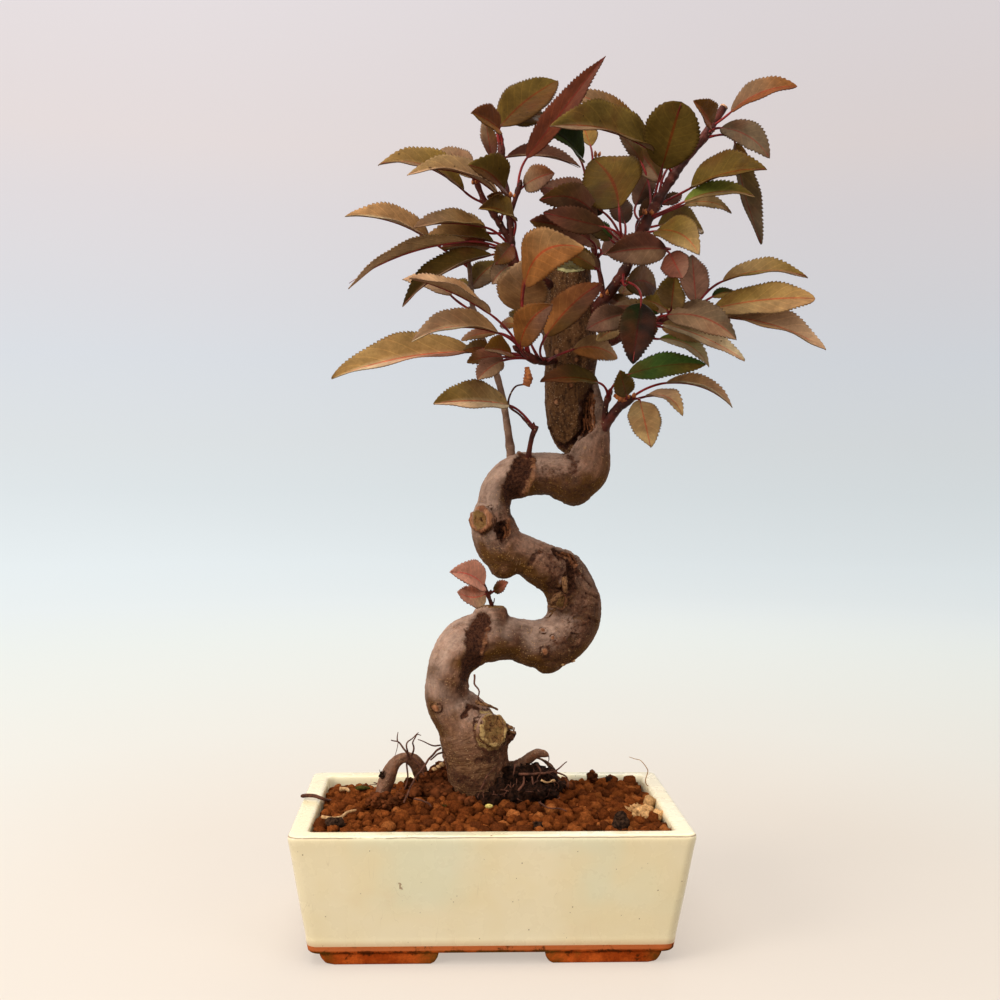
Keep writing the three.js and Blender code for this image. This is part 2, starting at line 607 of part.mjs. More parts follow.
// An L-shaped foot under one corner, with sloped ends
function foot(signX, signY) {
  const outerX = potLength / 2 - potTaper - 5;
  const outerY = potDepth / 2 - potTaper - 3;
  const level = (z, slope) => {
    const right = outerX - slope;
    const front = outerY - slope;
    const left = outerX - footLength + slope;
    const back = outerY - footReturn + slope;
    const innerX = outerX - footThickness;
    const innerY = outerY - footThickness;
    const corners = [
      [right, front - 4], [right - 1.2, front - 1.2], [right - 4, front], [left, front],
      [left, innerY], [innerX, innerY], [innerX, back], [right, back],
    ];
    return corners.map(([x, y]) => new THREE.Vector3(signX * x, signY * y, z));
  };
  return solid(loft([level(0, footSlope), level(1.5, footSlope - 1.5), level(footHeight + 1, 0)]));
}

function drain(x) {
  const hole = new THREE.CylinderGeometry(drainRadius, drainRadius, 3 * potFloor, 20);
  hole.rotateX(Math.PI / 2);
  hole.translate(x, 0, footHeight + potFloor / 2);
  return solid(hole);
}

function potSolid() {
  const feet = [foot(1, 1), foot(1, -1), foot(-1, 1), foot(-1, -1)];
  const body = joined([potBody(), ...feet]);
  return body.subtract(drain(drainOffset)).subtract(drain(-drainOffset));
}

// The soil: a bed of clay granules heaped around the trunk
function seededRandom(seed) {
  let state = seed;
  return () => {
    state = (state * 1664525 + 1013904223) % 4294967296;
    return state / 4294967296;
  };
}

function soilHeight(x, y) {
  const trunk = seen(490, 790, 0);
  const away = Math.hypot((x - trunk.x) / 44, (y - trunk.y) / 34);
  const mound = moundHeight * Math.exp(-away * away);
  const lowCorner = 5 * Math.max(0, -x / 90) * Math.max(0, y / 60);
  return soilTop + mound - lowCorner;
}

function soilSolid(trunk) {
  const random = seededRandom(7);
  const halfLength = potLength / 2 - potWall;
  const halfDepth = potDepth / 2 - potWall;
  const columns = Math.round((2 * halfLength) / granule);
  const lines = Math.round((2 * halfDepth) / granule);
  const points = [];
  for (let j = 0; j <= lines; j++) {
    for (let i = 0; i <= columns; i++) {
      const inner = i > 0 && i < columns && j > 0 && j < lines ? 1 : 0;
      const shiftX = inner * (random() - 0.5) * 0.6 * granule;
      const shiftY = inner * (random() - 0.5) * 0.6 * granule;
      const x = -halfLength + (2 * halfLength * i) / columns + shiftX;
      const y = -halfDepth + (2 * halfDepth * j) / lines + shiftY;
      points.push(new THREE.Vector3(x, y, soilHeight(x, y) + 2.4 * (random() - 0.5)));
    }
  }
  const at = (i, j) => j * (columns + 1) + i;
  const triangles = [];
  for (let j = 0; j < lines; j++) {
    for (let i = 0; i < columns; i++) {
      triangles.push([at(i, j), at(i + 1, j), at(i + 1, j + 1)]);
      triangles.push([at(i, j), at(i + 1, j + 1), at(i, j + 1)]);
    }
  }
  const rim = [];
  for (let i = 0; i < columns; i++) rim.push(at(i, 0));
  for (let j = 0; j < lines; j++) rim.push(at(columns, j));
  for (let i = columns; i > 0; i--) rim.push(at(i, lines));
  for (let j = lines; j > 0; j--) rim.push(at(0, j));
  const foot = points.length;
  const low = footHeight + potFloor + gap;
  for (const corner of rim) {
    points.push(new THREE.Vector3(points[corner].x, points[corner].y, low));
  }
  rim.forEach((corner, k) => {
    const next = (k + 1) % rim.length;
    triangles.push([corner, foot + k, foot + next], [corner, foot + next, rim[next]]);
  });
  for (let k = 1; k < rim.length - 1; k++) {
    triangles.push([foot, foot + k + 1, foot + k]);
  }
  const bed = solid(closedMesh(points, triangles));
  const inside = [
    potRing(potTaper + 5 + gap, low, 6),
    potRing(potWall + 1 + gap, potHeight - 6, 7),
    potRing(potWall + gap, potHeight - 1.5, 7),
    potRing(potWall + gap, potHeight + 20, 7),
  ];
  return bed.intersect(solid(loft(inside))).subtract(trunk);
}

// Colours, roughness and metalness of each piece
const woodLook = new THREE.MeshStandardMaterial({ color: 0x5a4540, roughness: 0.75, metalness: 0 });
const potLook = new THREE.MeshStandardMaterial({ color: 0xd9ceaf, roughness: 0.3, metalness: 0 });
const soilLook = new THREE.MeshStandardMaterial({ color: 0x7a3d1c, roughness: 1, metalness: 0 });
const leafLook = new THREE.MeshStandardMaterial({ color: 0x6b5a2c, roughness: 0.6, metalness: 0 });

const group = new THREE.Group();

function place(name, body, material) {
  const mesh = new THREE.Mesh(geometryOf(body), material);
  mesh.name = name;
  group.add(mesh);
}

const clearTrunk = trunkBody(gap);
place("pot", potSolid(), potLook);
place("soil", soilSolid(clearTrunk), soilLook);
place("trunk", trunkBody(0), woodLook);
for (const [name, names] of Object.entries(shoots)) {
  place(name, shoot(names).subtract(clearTrunk), leafLook);
}

// The origin lies on the ground under the middle of the whole object's box.
const box = new THREE.Box3().setFromObject(group);
const middle = box.getCenter(new THREE.Vector3());
group.position.set(-middle.x, -middle.y, -box.min.z);

export default group;
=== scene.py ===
"""Looks of the potted apple bonsai: bark, leaves, glaze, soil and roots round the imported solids."""
import math
import random

import bmesh
import bpy
import numpy as np
from mathutils import Euler, Matrix, Vector, noise
from mathutils.bvhtree import BVHTree
from mathutils.kdtree import KDTree


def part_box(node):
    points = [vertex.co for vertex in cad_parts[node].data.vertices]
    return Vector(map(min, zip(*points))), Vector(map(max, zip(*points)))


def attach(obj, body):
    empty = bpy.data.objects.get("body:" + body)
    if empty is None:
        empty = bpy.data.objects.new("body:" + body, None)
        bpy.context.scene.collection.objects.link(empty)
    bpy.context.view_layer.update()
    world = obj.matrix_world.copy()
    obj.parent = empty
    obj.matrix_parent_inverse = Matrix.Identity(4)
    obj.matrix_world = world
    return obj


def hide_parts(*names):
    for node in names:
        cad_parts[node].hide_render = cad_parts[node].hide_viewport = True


# Blender takes the offsets of its vector noise from the clock unless they are seeded.
noise.seed_set(1)

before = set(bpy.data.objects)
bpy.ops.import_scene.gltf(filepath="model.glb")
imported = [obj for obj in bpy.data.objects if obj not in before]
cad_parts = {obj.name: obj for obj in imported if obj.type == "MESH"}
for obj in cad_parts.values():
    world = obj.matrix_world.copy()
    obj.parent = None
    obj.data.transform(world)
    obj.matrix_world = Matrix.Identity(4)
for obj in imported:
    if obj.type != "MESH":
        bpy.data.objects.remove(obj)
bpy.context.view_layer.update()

# Everything is modelled in millimetres about the middle of the pot's foot, then put in the row frame.
MM = 0.001
pot_low, pot_high = [Vector(corner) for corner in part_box("pot")]
ground = Vector(((pot_low.x + pot_high.x) / 2, (pot_low.y + pot_high.y) / 2, pot_low.z))
row_place = Matrix.Translation(ground) @ Matrix.Scale(MM, 4)

# Pot and soil sizes
POT_LENGTH = 180
POT_DEPTH = 120
POT_HEIGHT = 60
FOOT_TOP = 6.6
FOOT_ACROSS = 77.2
FOOT_FRONT = 50.3
FOOT_WIDTH = 13
FOOT_LONG_ARM = 54
FOOT_SHORT_ARM = 30
DRAIN_PLACE = 40
DRAIN_RADIUS = 6
GLAZE_LOW = 9
SOIL_TOP = 56.5
MOUND = 8

# Leaf sizes
LEAF_SLENDERNESS = 2.3
LEAF_LEAN = 26
STEM_STEP = 12
TOOTH_PITCH = 1.8
BLADE_COLUMNS = 10
BLADE_THICKNESS = 0.36
VEIN_PAIRS = 7.5
VEIN_SLANT = 2.1

# The camera, worked out from the pot's rim and feet
eye = Vector((-22.7, -617.3, 219.9))
eye_turn = math.radians(2.487)
eye_dip = math.radians(1.379)
eye_roll = math.radians(0.467)
FOCAL_PIXELS = 1289.3
PICTURE = 1000
SENSOR = 36

forward = Vector((
    math.sin(eye_turn) * math.cos(eye_dip),
    math.cos(eye_turn) * math.cos(eye_dip),
    -math.sin(eye_dip),
))
level = Vector((math.cos(eye_turn), -math.sin(eye_turn), 0))
picture_right = Matrix.Rotation(-eye_roll, 3, forward) @ level
picture_up = picture_right.cross(forward)


def seen(px, py, depth):
    """The point that the picture shows at a pixel, at a depth behind the pot's middle"""
    ray = forward + picture_right * ((px - PICTURE / 2) / FOCAL_PIXELS)
    ray = ray + picture_up * ((PICTURE / 2 - py) / FOCAL_PIXELS)
    return eye + ray * ((depth - eye.y) / ray.y)


# Rows are px, py, depth behind the pot's middle and radius, in millimetres.
trunk_rows = [
    (484, 852, 0, 11), (482, 800, -1, 12.5), (478, 774, -2, 14.4), (474, 748, -3, 16.1),
    (466, 724, -4, 14.2), (449, 701, -6, 10.7), (447, 680, -7, 9.8), (453, 659, -7, 10.8),
    (466, 644, -6, 12.2), (490, 638, -4, 11.8), (515, 639, -2, 9.9), (536, 644, 0, 11.3),
    (556, 641, 2, 13), (571, 625, 4, 12.6), (574, 603, 4, 13), (562, 577, 1, 11.8),
    (545, 566, -1, 10.9), (527, 556, -3, 9.2), (502, 547, -5, 12), (493, 523, -6, 10.2),
    (494, 504, -6, 8.1), (499, 488, -5, 8.6), (517, 477, -3, 10.2), (535, 474, -1, 9.8),
    (552, 474, 0, 10.1), (570, 477, 0, 12.6), (585, 468, -1, 11.4), (593, 447, -2, 8.7),
    (598, 430, 0, 5.8), (598, 413, 3, 4.8), (596, 400, 5, 3.8), (591, 384, 7, 3),
]
stub_rows = [
    (577, 454, 6, 4), (574.5, 446, 7, 6.4), (572, 436, 8.5, 8.8), (569.5, 420, 9.5, 10.6),
    (569, 385, 9, 11.6), (571, 352, 8, 12.9), (568, 310, 7, 12.2), (568, 285, 6.5, 11.2),
    (569, 262, 6, 9.9), (569, 234, 6, 9.6),
]
side_limbs = [
    [(490, 634, -5, 11), (491.5, 606.5, -5, 6.9)],
    [(479, 731, -4, 9.5), (494.5, 729.5, -18.5, 7.4)],
    [(491, 522, -7, 6.5), (480, 519.7, -17.5, 4.8)],
    [(500, 741, -4, 5), (516, 733, -4, 1.2)],
    [(563, 588, -6, 3), (563.5, 583, -13.5, 1.6)],
]
bulges = [(503.5, 563, -5, 8), (549, 655, 0, 9.2), (574, 487, 0, 9.2)]
roots = [
    [(446, 806, 3, 5), (480, 808, 3, 10), (520, 808, 3, 9), (552, 810, 4, 5)],
    [(381, 808, -8, 3.3), (383, 790, -8, 3.3), (387, 778, -8, 3.4), (392, 766, -8, 3.3),
     (399, 759, -7.5, 3.2), (406, 757, -7, 3), (413, 760.5, -5, 3), (417, 766, -3, 2.9),
     (421, 774, 1, 2.9), (430, 790, 5, 3.4)],
    [(496, 779, 0, 5), (510, 770, -2, 3.8), (522, 763.5, -4, 3.3), (530, 757, -5, 2.7),
     (537, 753.3, -6, 1.9), (544.5, 753.8, -6, 1.3), (548.5, 756, -6, 0.5)],
    [(536, 757, -1, 1.3), (546, 762, 1, 1.7), (552, 770.5, 2, 1.9), (553.5, 779, 2, 2),
     (549, 792, 3, 2.4)],
]
stems = {
    "left_whip": [(512, 462, -2, 2.4), (508, 431, -7, 1.8), (502, 395, -10, 1.6),
        (494, 367, -12, 1.5), (481, 335, -13, 1.4), (473, 309, -13, 1.3), (471, 290, -13, 1.1),
        (469, 262, -13, 0.9)],
    "left_spray": [(558, 290, 3, 2.4), (534, 275, -7, 2.2), (513, 262, -12, 2),
        (511, 236, -13, 1.8), (509, 205, -12, 1.5), (503, 170, -8, 1.3), (501, 142, -7, 1.2)],
    "left_side": [(511, 244, -13, 1.4), (500, 224, -15, 1.4), (484, 200, -18, 1.3),
        (476, 181, -18, 1.2)],
    "middle_spur": [(509.5, 215, -12, 1.2), (515, 200, -14, 1.1), (519, 187, -14, 1)],
    "red_spur": [(558, 361, 2, 1.7), (541, 361, -12, 1.6), (533, 359, -17, 1.6),
        (519, 350, -19, 1.3)],
    "right_branch": [(588, 316, 5, 3), (606, 297, -3, 2.7), (625, 270, -9, 2.4),
        (641, 232, -12, 2.3), (655, 206, -12, 2.2), (680, 166, -10, 2), (704, 137, -8, 1.9),
        (724, 107, -6, 1.9)],
    "right_spur": [(634, 250, -10, 1.5), (628, 247, -14, 1.5), (621, 245, -16, 1.3)],
    "right_riser": [(604, 298, -2, 1.3), (600, 275, -3, 1.2), (594, 252, -3, 1)],
    "right_twig": [(588, 350, 6, 2.6), (603, 345, -3, 2.2), (624, 335, -10, 1.9),
        (650, 324, -15, 1.8), (668, 318, -18, 1.8), (698, 311, -20, 1.3), (708, 311, -20, 1)],
    "knee_branch": [(600, 434, -2, 2.6), (611, 417, -7, 2.3), (622, 404, -11, 2.1),
        (632, 398, -13, 1.9)],
    "knee_spur": [(604, 424, -4, 1.5), (606, 405, -9, 1.3), (609, 395, -10, 1.1)],
    "forked_spur": [(528, 462, -4, 1.6), (530, 446, -11, 1.15), (533, 434, -13, 1.2), (537, 426, -14, 0.9)],
    "forked_bud": [(533, 429, -14, 0.8), (520, 415, -17, 0.5), (508.5, 404.5, -19, 0.5),
        (515, 387, -20, 0.42), (526, 384, -21, 0.42)],
    "low_shoot": [(494, 612, -5, 1.1), (490, 600, -9, 0.9), (484, 586, -14, 0.8)],
    "back_top": [(572, 308, 12, 2.6), (575, 280, 30, 2.2), (580, 248, 42, 1.9),
        (586, 216, 48, 1.5)],
    "back_right": [(582, 338, 12, 2.2), (602, 324, 30, 1.8), (628, 310, 44, 1.5)],
    "back_left": [(558, 348, 12, 2.2), (541, 326, 28, 1.8), (524, 300, 40, 1.5)],
}
shoots = {
    "left_whip": ["left_whip"],
    "left_spray": ["left_spray", "left_side", "middle_spur"],
    "red_spur": ["red_spur"],
    "right_branch": ["right_branch", "right_spur", "right_riser"],
    "right_twig": ["right_twig"],
    "knee_branch": ["knee_branch", "knee_spur"],
    "forked_spur": ["forked_spur", "forked_bud"],
    "low_shoot": ["low_shoot"],
    "back_top": ["back_top"],
    "back_right": ["back_right"],
    "back_left": ["back_left"],
}
buds = [
    ("forked_bud", [(526, 386, -21, 1.6), (528, 379, -21, 2.3), (527, 367, -21, 1)]),
    ("knee_branch", [(627, 401, -13, 1.2), (620, 398, -14, 1.8), (614, 395, -14, 0.6)]),
]
# A leaf's row: its stem's number in the shoot, the share of the way along the stem, the px and py of the
# blade's base and tip, their depths, width, turn and fold in degrees, arch, tones and perhaps the tip's taper
leaves = {
    "left_whip": [
        (0, 1, 430, 240, 345, 216, -12, -20, 16, 55, 38, 3.5, "tan tan peach cream"),
        (0, 0.9, 471, 288, 497, 262, -8, -3, 12, 10, 10, 1, "olive moss grey pale"),
        (0, 0.88, 467, 290, 452, 281, -10, -10, 7, 30, 10, 1, "moss khaki pinkgrey grey"),
        (0, 0.78, 451.4, 296, 402.5, 280, -12, -8, 12, 40, 20, 3, "peach"),
    ],
    "left_spray": [
        (1, 0.7, 464, 191, 379, 163, -19, -24, 18, 50, 38, 5, "khaki ochre pinkgrey pinkgrey"),
        (1, 1, 474, 178, 437, 152, -12, -12, 13, 20, 20, 2, "pinkgrey pinkgrey pale khaki"),
        (1, 0.35, 499, 196, 408, 173.5, -20, -34, 16, 60, 35, 6, "grey pale grey peach"),
        (0, 0.6, 504, 191, 470, 165, -30, -34, 20, 40, 35, 2, "olive moss maroon bronze"),
        (1, 0.5, 502, 206, 487, 196, -16, -17, 8, 10, 10, 1, "maroon amber grey amber"),
        (0, 0.42, 484, 227, 413, 228, -22, -32, 14, 58, 35, 2, "ochre pinkgrey khaki pinkgrey"),
        (1, 0.2, 486, 232, 444, 221, -15, -14, 11, 10, 10, 1, "khaki pale amber ochre"),
        (0, 0.45, 514, 220, 480, 208.5, -19, -22, 14, 45, 38, 2, "khaki bronze olive khaki"),
        (0, 0.38, 494, 242, 421.5, 239, -17, -21, 14, 55, 35, 2, "olive tan olive grey"),
        (0, 0.4, 466, 241.5, 346.6, 284.5, -23, -39, 14, 100, 38, 4, "ochre peach khaki peach"),
        (0, 0.36, 490, 247, 441, 248, -13, -14, 9, 30, 10, 1, "rust pink grey olive"),
        (0, 0.34, 492, 254.7, 402, 305, -18, -26, 17, 52, 38, 3.5, "olive dark_olive slate pinkgrey"),
        (0, 0.3, 511, 246, 496, 264, -24, -30, 10, 0, 10, 0, "bronze bronze rust bronze"),
        (0, 0.27, 509, 266, 492, 284, -3, -5, 10, 0, 10, 1, "pinkgrey pinkgrey pale peach"),
        (2, 1, 527, 158, 605, 55.5, -16, -26, 14, 35, 15, 0, "red_brown red_brown red_brown maroon"),
        (2, 0.9, 524, 186, 555, 173, -11, -14, 12, 15, 10, 1, "pinkgrey rust pinkgrey mauve"),
        (0, 0.92, 507, 157, 580, 168, -3, 6, 13, 60, 30, 3, "maroon mauve pinkgrey mauve"),
        (0, 1, 500, 127, 557, 82, -8, -2, 20, 25, 15, 2, "olive moss bronze bronze"),
        (0, 0.98, 502, 122, 550, 119, -2, 3, 18, 40, 15, 3, "olive dark_olive olive bronze"),
        (0, 0.96, 499, 130, 470.5, 113, -13, -17, 14, 40, 30, 1, "rust rust orange amber"),
        (0, 0.9, 491.5, 157, 485, 119, -2, -2, 9, 30, 10, 0, "maroon bronze maroon pinkgrey"),
    ],
    "red_spur": [
        (0, 0.9, 525, 284, 585, 248, -38, -46, 21, 12, 12, 8, "orange tan orange orange"),
        (0, 0.6, 521, 312, 529, 260, -18, -19, 23, 5, 8, 1, "tan peach tan tan"),
        (0, 1, 490, 314, 409, 278, -32, -48, 17, 80, 32, 2, "tan peach peach peach"),
        (0, 0.96, 498.6, 333, 412, 341, -24, -34, 18, 50, 38, 4.3, "tan pinkgrey tan cream"),
        (0, 0.8, 471, 352, 331.5, 378.4, -20, -26, 23, 48, 36, 2.8, "ochre ochre blush cream"),
        (0, 0.92, 511, 354, 484, 350, -23, -26, 13, 40, 30, 1, "amber amber rust grey"),
        (0, 0.9, 496, 333, 461, 340.5, -19, -20, 7, 40, 15, 1, "pink peach tan tan"),
        (0, 0.95, 492, 350, 464, 350, -17, -18, 8, 20, 10, 1, "amber pale pink orange"),
        (0, 0.84, 503, 357, 467, 362.5, -26, -28, 9, 30, 10, 1, "pink bronze mauve bronze"),
        (0, 0.78, 502, 361, 477, 380.5, -30, -32, 10, 20, 10, 1, "mauve mauve pinkgrey pinkgrey"),
        (0, 0.75, 520.5, 345, 552, 304.5, -29, -33, 15, 12, 12, 3, "orange orange orange mauve"),
        (0, 0.87, 517, 325, 500, 326, -21, -21, 6, 20, 10, 1, "ochre mauve amber mauve"),
        (0, 0.45, 546, 336, 602, 282, -29, -25, 16, 20, 12, 2, "orange rust bronze maroon"),
        (0, 0.4, 573, 349.5, 617, 358.5, -27, -25, 12, 15, 10, 3, "tan peach orange tan"),
    ],
    "right_branch": [
        (0, 0.49, 662, 168, 681, 103, -15, -18, 25, 5, 8, 0, "moss", 0.5),
        (0, 0.55, 668, 168, 698, 142, -7, -4, 10, 20, 10, 1, "olive olive moss brown"),
        (0, 0.64, 660, 181, 631, 144, -5, -1, 13, 5, 10, 1, "dark_olive olive grey brown"),
        (0, 0.48, 642, 164, 619, 134, 1, 5, 7, 15, 10, 1, "dark_olive grey brown grey"),
        (0, 0.44, 636, 205, 653, 168, 2, 6, 11, 5, 10, 0, "mauve grey plum grey"),
        (0, 0.67, 652, 151, 550, 126.5, -19, -25, 26, 50, 38, 4, "moss moss olive grey"),
        (0, 0.74, 638, 130, 566, 93, 2, 0, 12, 25, 15, 3, "amber pinkgrey bronze pinkgrey"),
        (0, 0.7, 612, 117, 552, 121, -5, -7, 10, 30, 10, 1, "olive amber bronze bronze"),
        (0, 0.9, 711, 124, 695, 101, -12, -14, 14, 40, 35, 0, "amber amber rust orange"),
        (0, 0.92, 731, 112, 797, 86, -12, -20, 14, 45, 28, 3, "pinkgrey orange rust rust", 0.7),
        (0, 0.88, 721, 128, 769.5, 157.5, -14, -18, 14, 25, 20, 3, "slate"),
        (0, 0.86, 735, 143, 762, 244, -11, -17, 15, 45, 32, -2, "olive slate slate slate"),
        (0, 0.52, 691, 188, 766, 168.4, -17, -25, 21, 50, 36, 2, "moss olive olive olive"),
        (0, 0.47, 684, 202, 755, 195.5, -23, -27, 12, 50, 28, 3, "fresh moss pale pale"),
        (0, 0.45, 684, 205, 732, 212.5, -13, -11, 8, 40, 15, 3, "pale"),
        (0, 0.42, 658, 225.5, 702.5, 231, -9, -9, 18, 35, 30, 2, "moss khaki pale pale"),
        (0, 0.4, 656, 231, 699, 255, -20, -22, 17, 25, 25, 4, "moss pale"),
        (0, 0.38, 640, 218, 665, 192, -4, 0, 9, 10, 10, 0, "brown brown brown plum"),
        (0, 0.43, 661, 204, 682, 194, -3, 0, 7, 20, 10, 0, "plum bronze maroon maroon"),
        (0, 0.2, 641, 303, 633, 362, -35, -39, 16.5, 0, 12, 0, "night umber umber umber"),
        (0, 0.24, 626, 285, 656, 289, -16, -12, 15, 10, 10, 3, "bronze grey dark_olive brown"),
        (0, 0.36, 666, 249, 606.5, 254, -31, -33, 15, 5, 8, 1, "maroon brown grey mauve"),
        (0, 0.32, 670, 254, 683, 279, -34, -36, 13, 0, 8, 0, "maroon mauve maroon maroon"),
        (1, 1, 619, 208, 594, 160, -30, -14, 29, 0, 8, 3, "olive moss dark_olive olive"),
        (1, 0.92, 603, 212, 538.5, 186.5, -14, -13, 16, 5, 8, 2, "mauve mauve plum maroon"),
        (1, 0.8, 597, 217, 540, 200, -19, -20, 14, 8, 8, 5, "mauve bronze plum brown"),
        (1, 0.85, 604, 227, 543.5, 212.5, -29, -32, 12, 8, 8, 0, "brown maroon"),
        (1, 0.7, 611, 240, 587, 223, -13, -12, 9, 10, 8, 1, "green moss dark_olive brown"),
        (1, 0.95, 625, 224, 617, 195, -10, -6, 11, 5, 8, 0, "brown brown brown maroon"),
        (2, 1, 590, 240, 530, 221, -13, -16, 14, 5, 8, 2, "maroon maroon mauve bronze"),
        (2, 0.92, 600, 249, 565, 236, -4, -4, 9, 40, 10, 2, "grey plum mauve brown"),
        (2, 0.9, 595, 268, 565, 253, -9, -12, 8, 10, 10, 1, "pale amber moss amber"),
        (2, 0.8, 598, 270, 581, 247, -7, -8, 6, 10, 10, 0, "mauve moss moss moss"),
    ],
    "right_twig": [
        (0, 0.3, 626, 314, 587, 329, -24, -26, 13, 10, 10, 1, "brown mauve grey mauve"),
        (0, 0.27, 619, 329, 597, 341, -16, -17, 8, 10, 10, 1, "pale"),
        (0, 0.35, 632, 313, 607, 297, -12, -12, 9, 10, 10, 1, "grey bronze bronze mauve"),
        (0, 0.7, 668, 311, 643, 300, -21, -19, 9, 10, 10, 1, "moss moss grey moss"),
        (0, 0.62, 660, 312, 613, 306, -17, -16, 8, 15, 10, 1, "olive grey dark_green maroon"),
        (0, 0.68, 671.5, 308, 675, 274.5, -24, -26, 14, 20, 15, 0, "pale moss pale khaki"),
        (0, 0.9, 696, 303, 692, 254, -21, -16, 14, 10, 10, 0, "mauve mauve mauve slate"),
        (0, 0.93, 722.5, 281.4, 808, 276, -24, -31, 13, 50, 34, 3.4, "pale khaki moss pinkgrey"),
        (0, 1, 713, 309, 815, 298, -26, -35, 17, 35, 10, 1.5, "khaki ochre pale tan", 0.6),
        (0, 0.97, 723, 317, 826, 349.5, -22, -28, 18, 50, 34, 3, "peach peach tan peach"),
        (0, 0.92, 731, 317.5, 756, 316, -15, -13, 6, 30, 10, 1, "dark_green dark_green dark_olive olive"),
        (0, 0.87, 712, 297, 736, 293, -15, -13, 6, 30, 10, 1, "dark_green dark_olive khaki moss"),
        (0, 0.66, 668, 315, 736, 339, -29, -34, 16, 25, 15, 4, "grey slate grey pinkgrey"),
        (0, 0.58, 662, 324, 744.5, 361, -24, -28, 13, 45, 25, 2, "pale cream cream peach"),
        (0, 0.54, 662, 327, 701, 342, -19, -20, 8, 20, 10, 1, "amber pinkgrey tan pale"),
        (0, 0.5, 659, 339, 709, 367, -12, -15, 11, 40, 25, 4, "fresh cream cream cream"),
    ],
    "knee_branch": [
        (1, 1, 628, 375, 705.6, 365, -22, -28, 14, 35, 8, 2, "green green green olive"),
        (1, 0.95, 598, 382.5, 540, 382, -19, -21, 13, 40, 30, 2, "dark_olive brown"),
        (0, 0.9, 626.5, 396, 620, 371.5, -17, -18, 10, 8, 8, 0, "moss moss olive moss"),
        (0, 1, 666, 383, 732.4, 407, -16, -20, 12, 60, 35, 4, "tan peach cream cream"),
        (0, 0.94, 646, 396.5, 682.7, 415.3, -13, -15, 11, 50, 25, 4, "peach pale"),
        (0, 0.86, 640, 401, 650.5, 446, -18, -22, 15, 8, 12, 0, "pale"),
    ],
    "forked_spur": [
        (0, 1, 507.5, 405, 433, 404.5, -19, -25, 19, 38, 35, 1.5, "pale khaki cream peach"),
    ],
    "low_shoot": [
        (0, 1, 484, 586, 451, 572, -15, -17, 15, 25, 28, 2, "salmon"),
        (0, 0.8, 485.5, 594, 458, 592, -14, -15, 11, 20, 10, -2, "salmon salmon peach salmon"),
        (0, 0.7, 494, 591, 508, 582, -12, -13, 6, 20, 10, 0, "olive pink"),
    ],
    "back_top": [
        (0, 1, 581, 161, 541, 128, 30, 22, 20, 45, 35, 3, "dark_green"),
        (0, 0.95, 590.5, 146, 580, 118, 34, 42, 12, 20, 15, 0, "khaki orange"),
        (0, 0.97, 600, 198, 626, 172, 58, 74, 18, 30, 15, 3, "olive maroon"),
        (0, 0.9, 572, 212, 550, 194, 58, 78, 17, 40, 20, 3, "maroon"),
        (0, 0.7, 562, 244, 533, 258, 58, 78, 20, 35, 15, 4, "olive"),
        (0, 0.6, 602, 254, 645, 250, 50, 68, 16, 40, 20, 3, "mauve maroon"),
    ],
    "back_right": [
        (0, 1, 642, 306, 694, 318, 50, 64, 17, 40, 20, 4, "olive ochre"),
        (0, 0.9, 632, 318, 646, 346, 52, 76, 16, 20, 15, 3, "bronze olive"),
        (0, 0.7, 622, 296, 640, 284, 48, 70, 15, 30, 15, 3, "olive orange"),
    ],
    "back_left": [
        (0, 1, 514, 294, 508, 278, 48, 68, 14, 20, 15, 3, "maroon olive"),
        (0, 0.8, 532, 312, 522, 338, 44, 68, 16, 30, 15, 3, "olive dark_olive"),
        (0, 0.9, 532, 286, 540, 262, 48, 72, 18, 20, 15, 3, "mauve maroon"),
    ],
}


# Small helpers for shapes
def smoothstep(low, high, value):
    """0 below low, 1 above high and a soft step between; numbers or arrays"""
    share = np.clip((value - low) / (high - low), 0, 1)
    return share * share * (3 - 2 * share)


def curve_piece(before, start, end, after, share):
    """A point on the centripetal curve between start and end"""
    gaps = [max(1e-4, (b - a).length) ** 0.5 for a, b in ((before, start), (start, end), (end, after))]
    first, middle, last = gaps
    out = (start - before) / first - (end - before) / (first + middle) + (end - start) / middle
    into = (end - start) / middle - (after - start) / (middle + last) + (after - end) / last
    out, into = out * middle, into * middle
    square = (end - start) * 3 - out * 2 - into
    cube = (start - end) * 2 + out + into
    return start + out * share + square * share**2 + cube * share**3


def spaced(points, sizes, step):
    """Evenly spaced points along the curve through the given ones, with the size at each"""
    ends = [points[0] * 2 - points[1], *points, points[-1] * 2 - points[-2]]
    fine, fine_size = [], []
    cuts = 24
    for k in range(len(points) - 1):
        for j in range(cuts):
            fine.append(curve_piece(*ends[k:k + 4], j / cuts))
            fine_size.append(sizes[k] + (sizes[k + 1] - sizes[k]) * j / cuts)
    fine.append(points[-1])
    fine_size.append(sizes[-1])
    lengths = np.concatenate([[0], np.cumsum([(b - a).length for a, b in zip(fine, fine[1:])])])
    count = max(2, round(lengths[-1] / step))
    wanted = np.linspace(0, lengths[-1], count + 1)
    columns = [np.interp(wanted, lengths, [p[axis] for p in fine]) for axis in range(3)]
    return [Vector(p) for p in zip(*columns)], list(np.interp(wanted, lengths, fine_size))


def limb_path(rows, step):
    """Middles and radii along a limb whose rows are px, py, depth and radius"""
    return spaced([seen(px, py, depth) for px, py, depth, _ in rows], [r[3] for r in rows], step)


def frames_along(path):
    """A direction and two crosswise ones at each point, carried along without twisting"""
    across = None
    frames = []
    for k, point in enumerate(path):
        along = (path[min(k + 1, len(path) - 1)] - path[max(k - 1, 0)]).normalized()
        across = along.orthogonal() if across is None else across - along * across.dot(along)
        across.normalize()
        frames.append((along, across.copy(), along.cross(across)))
    return frames


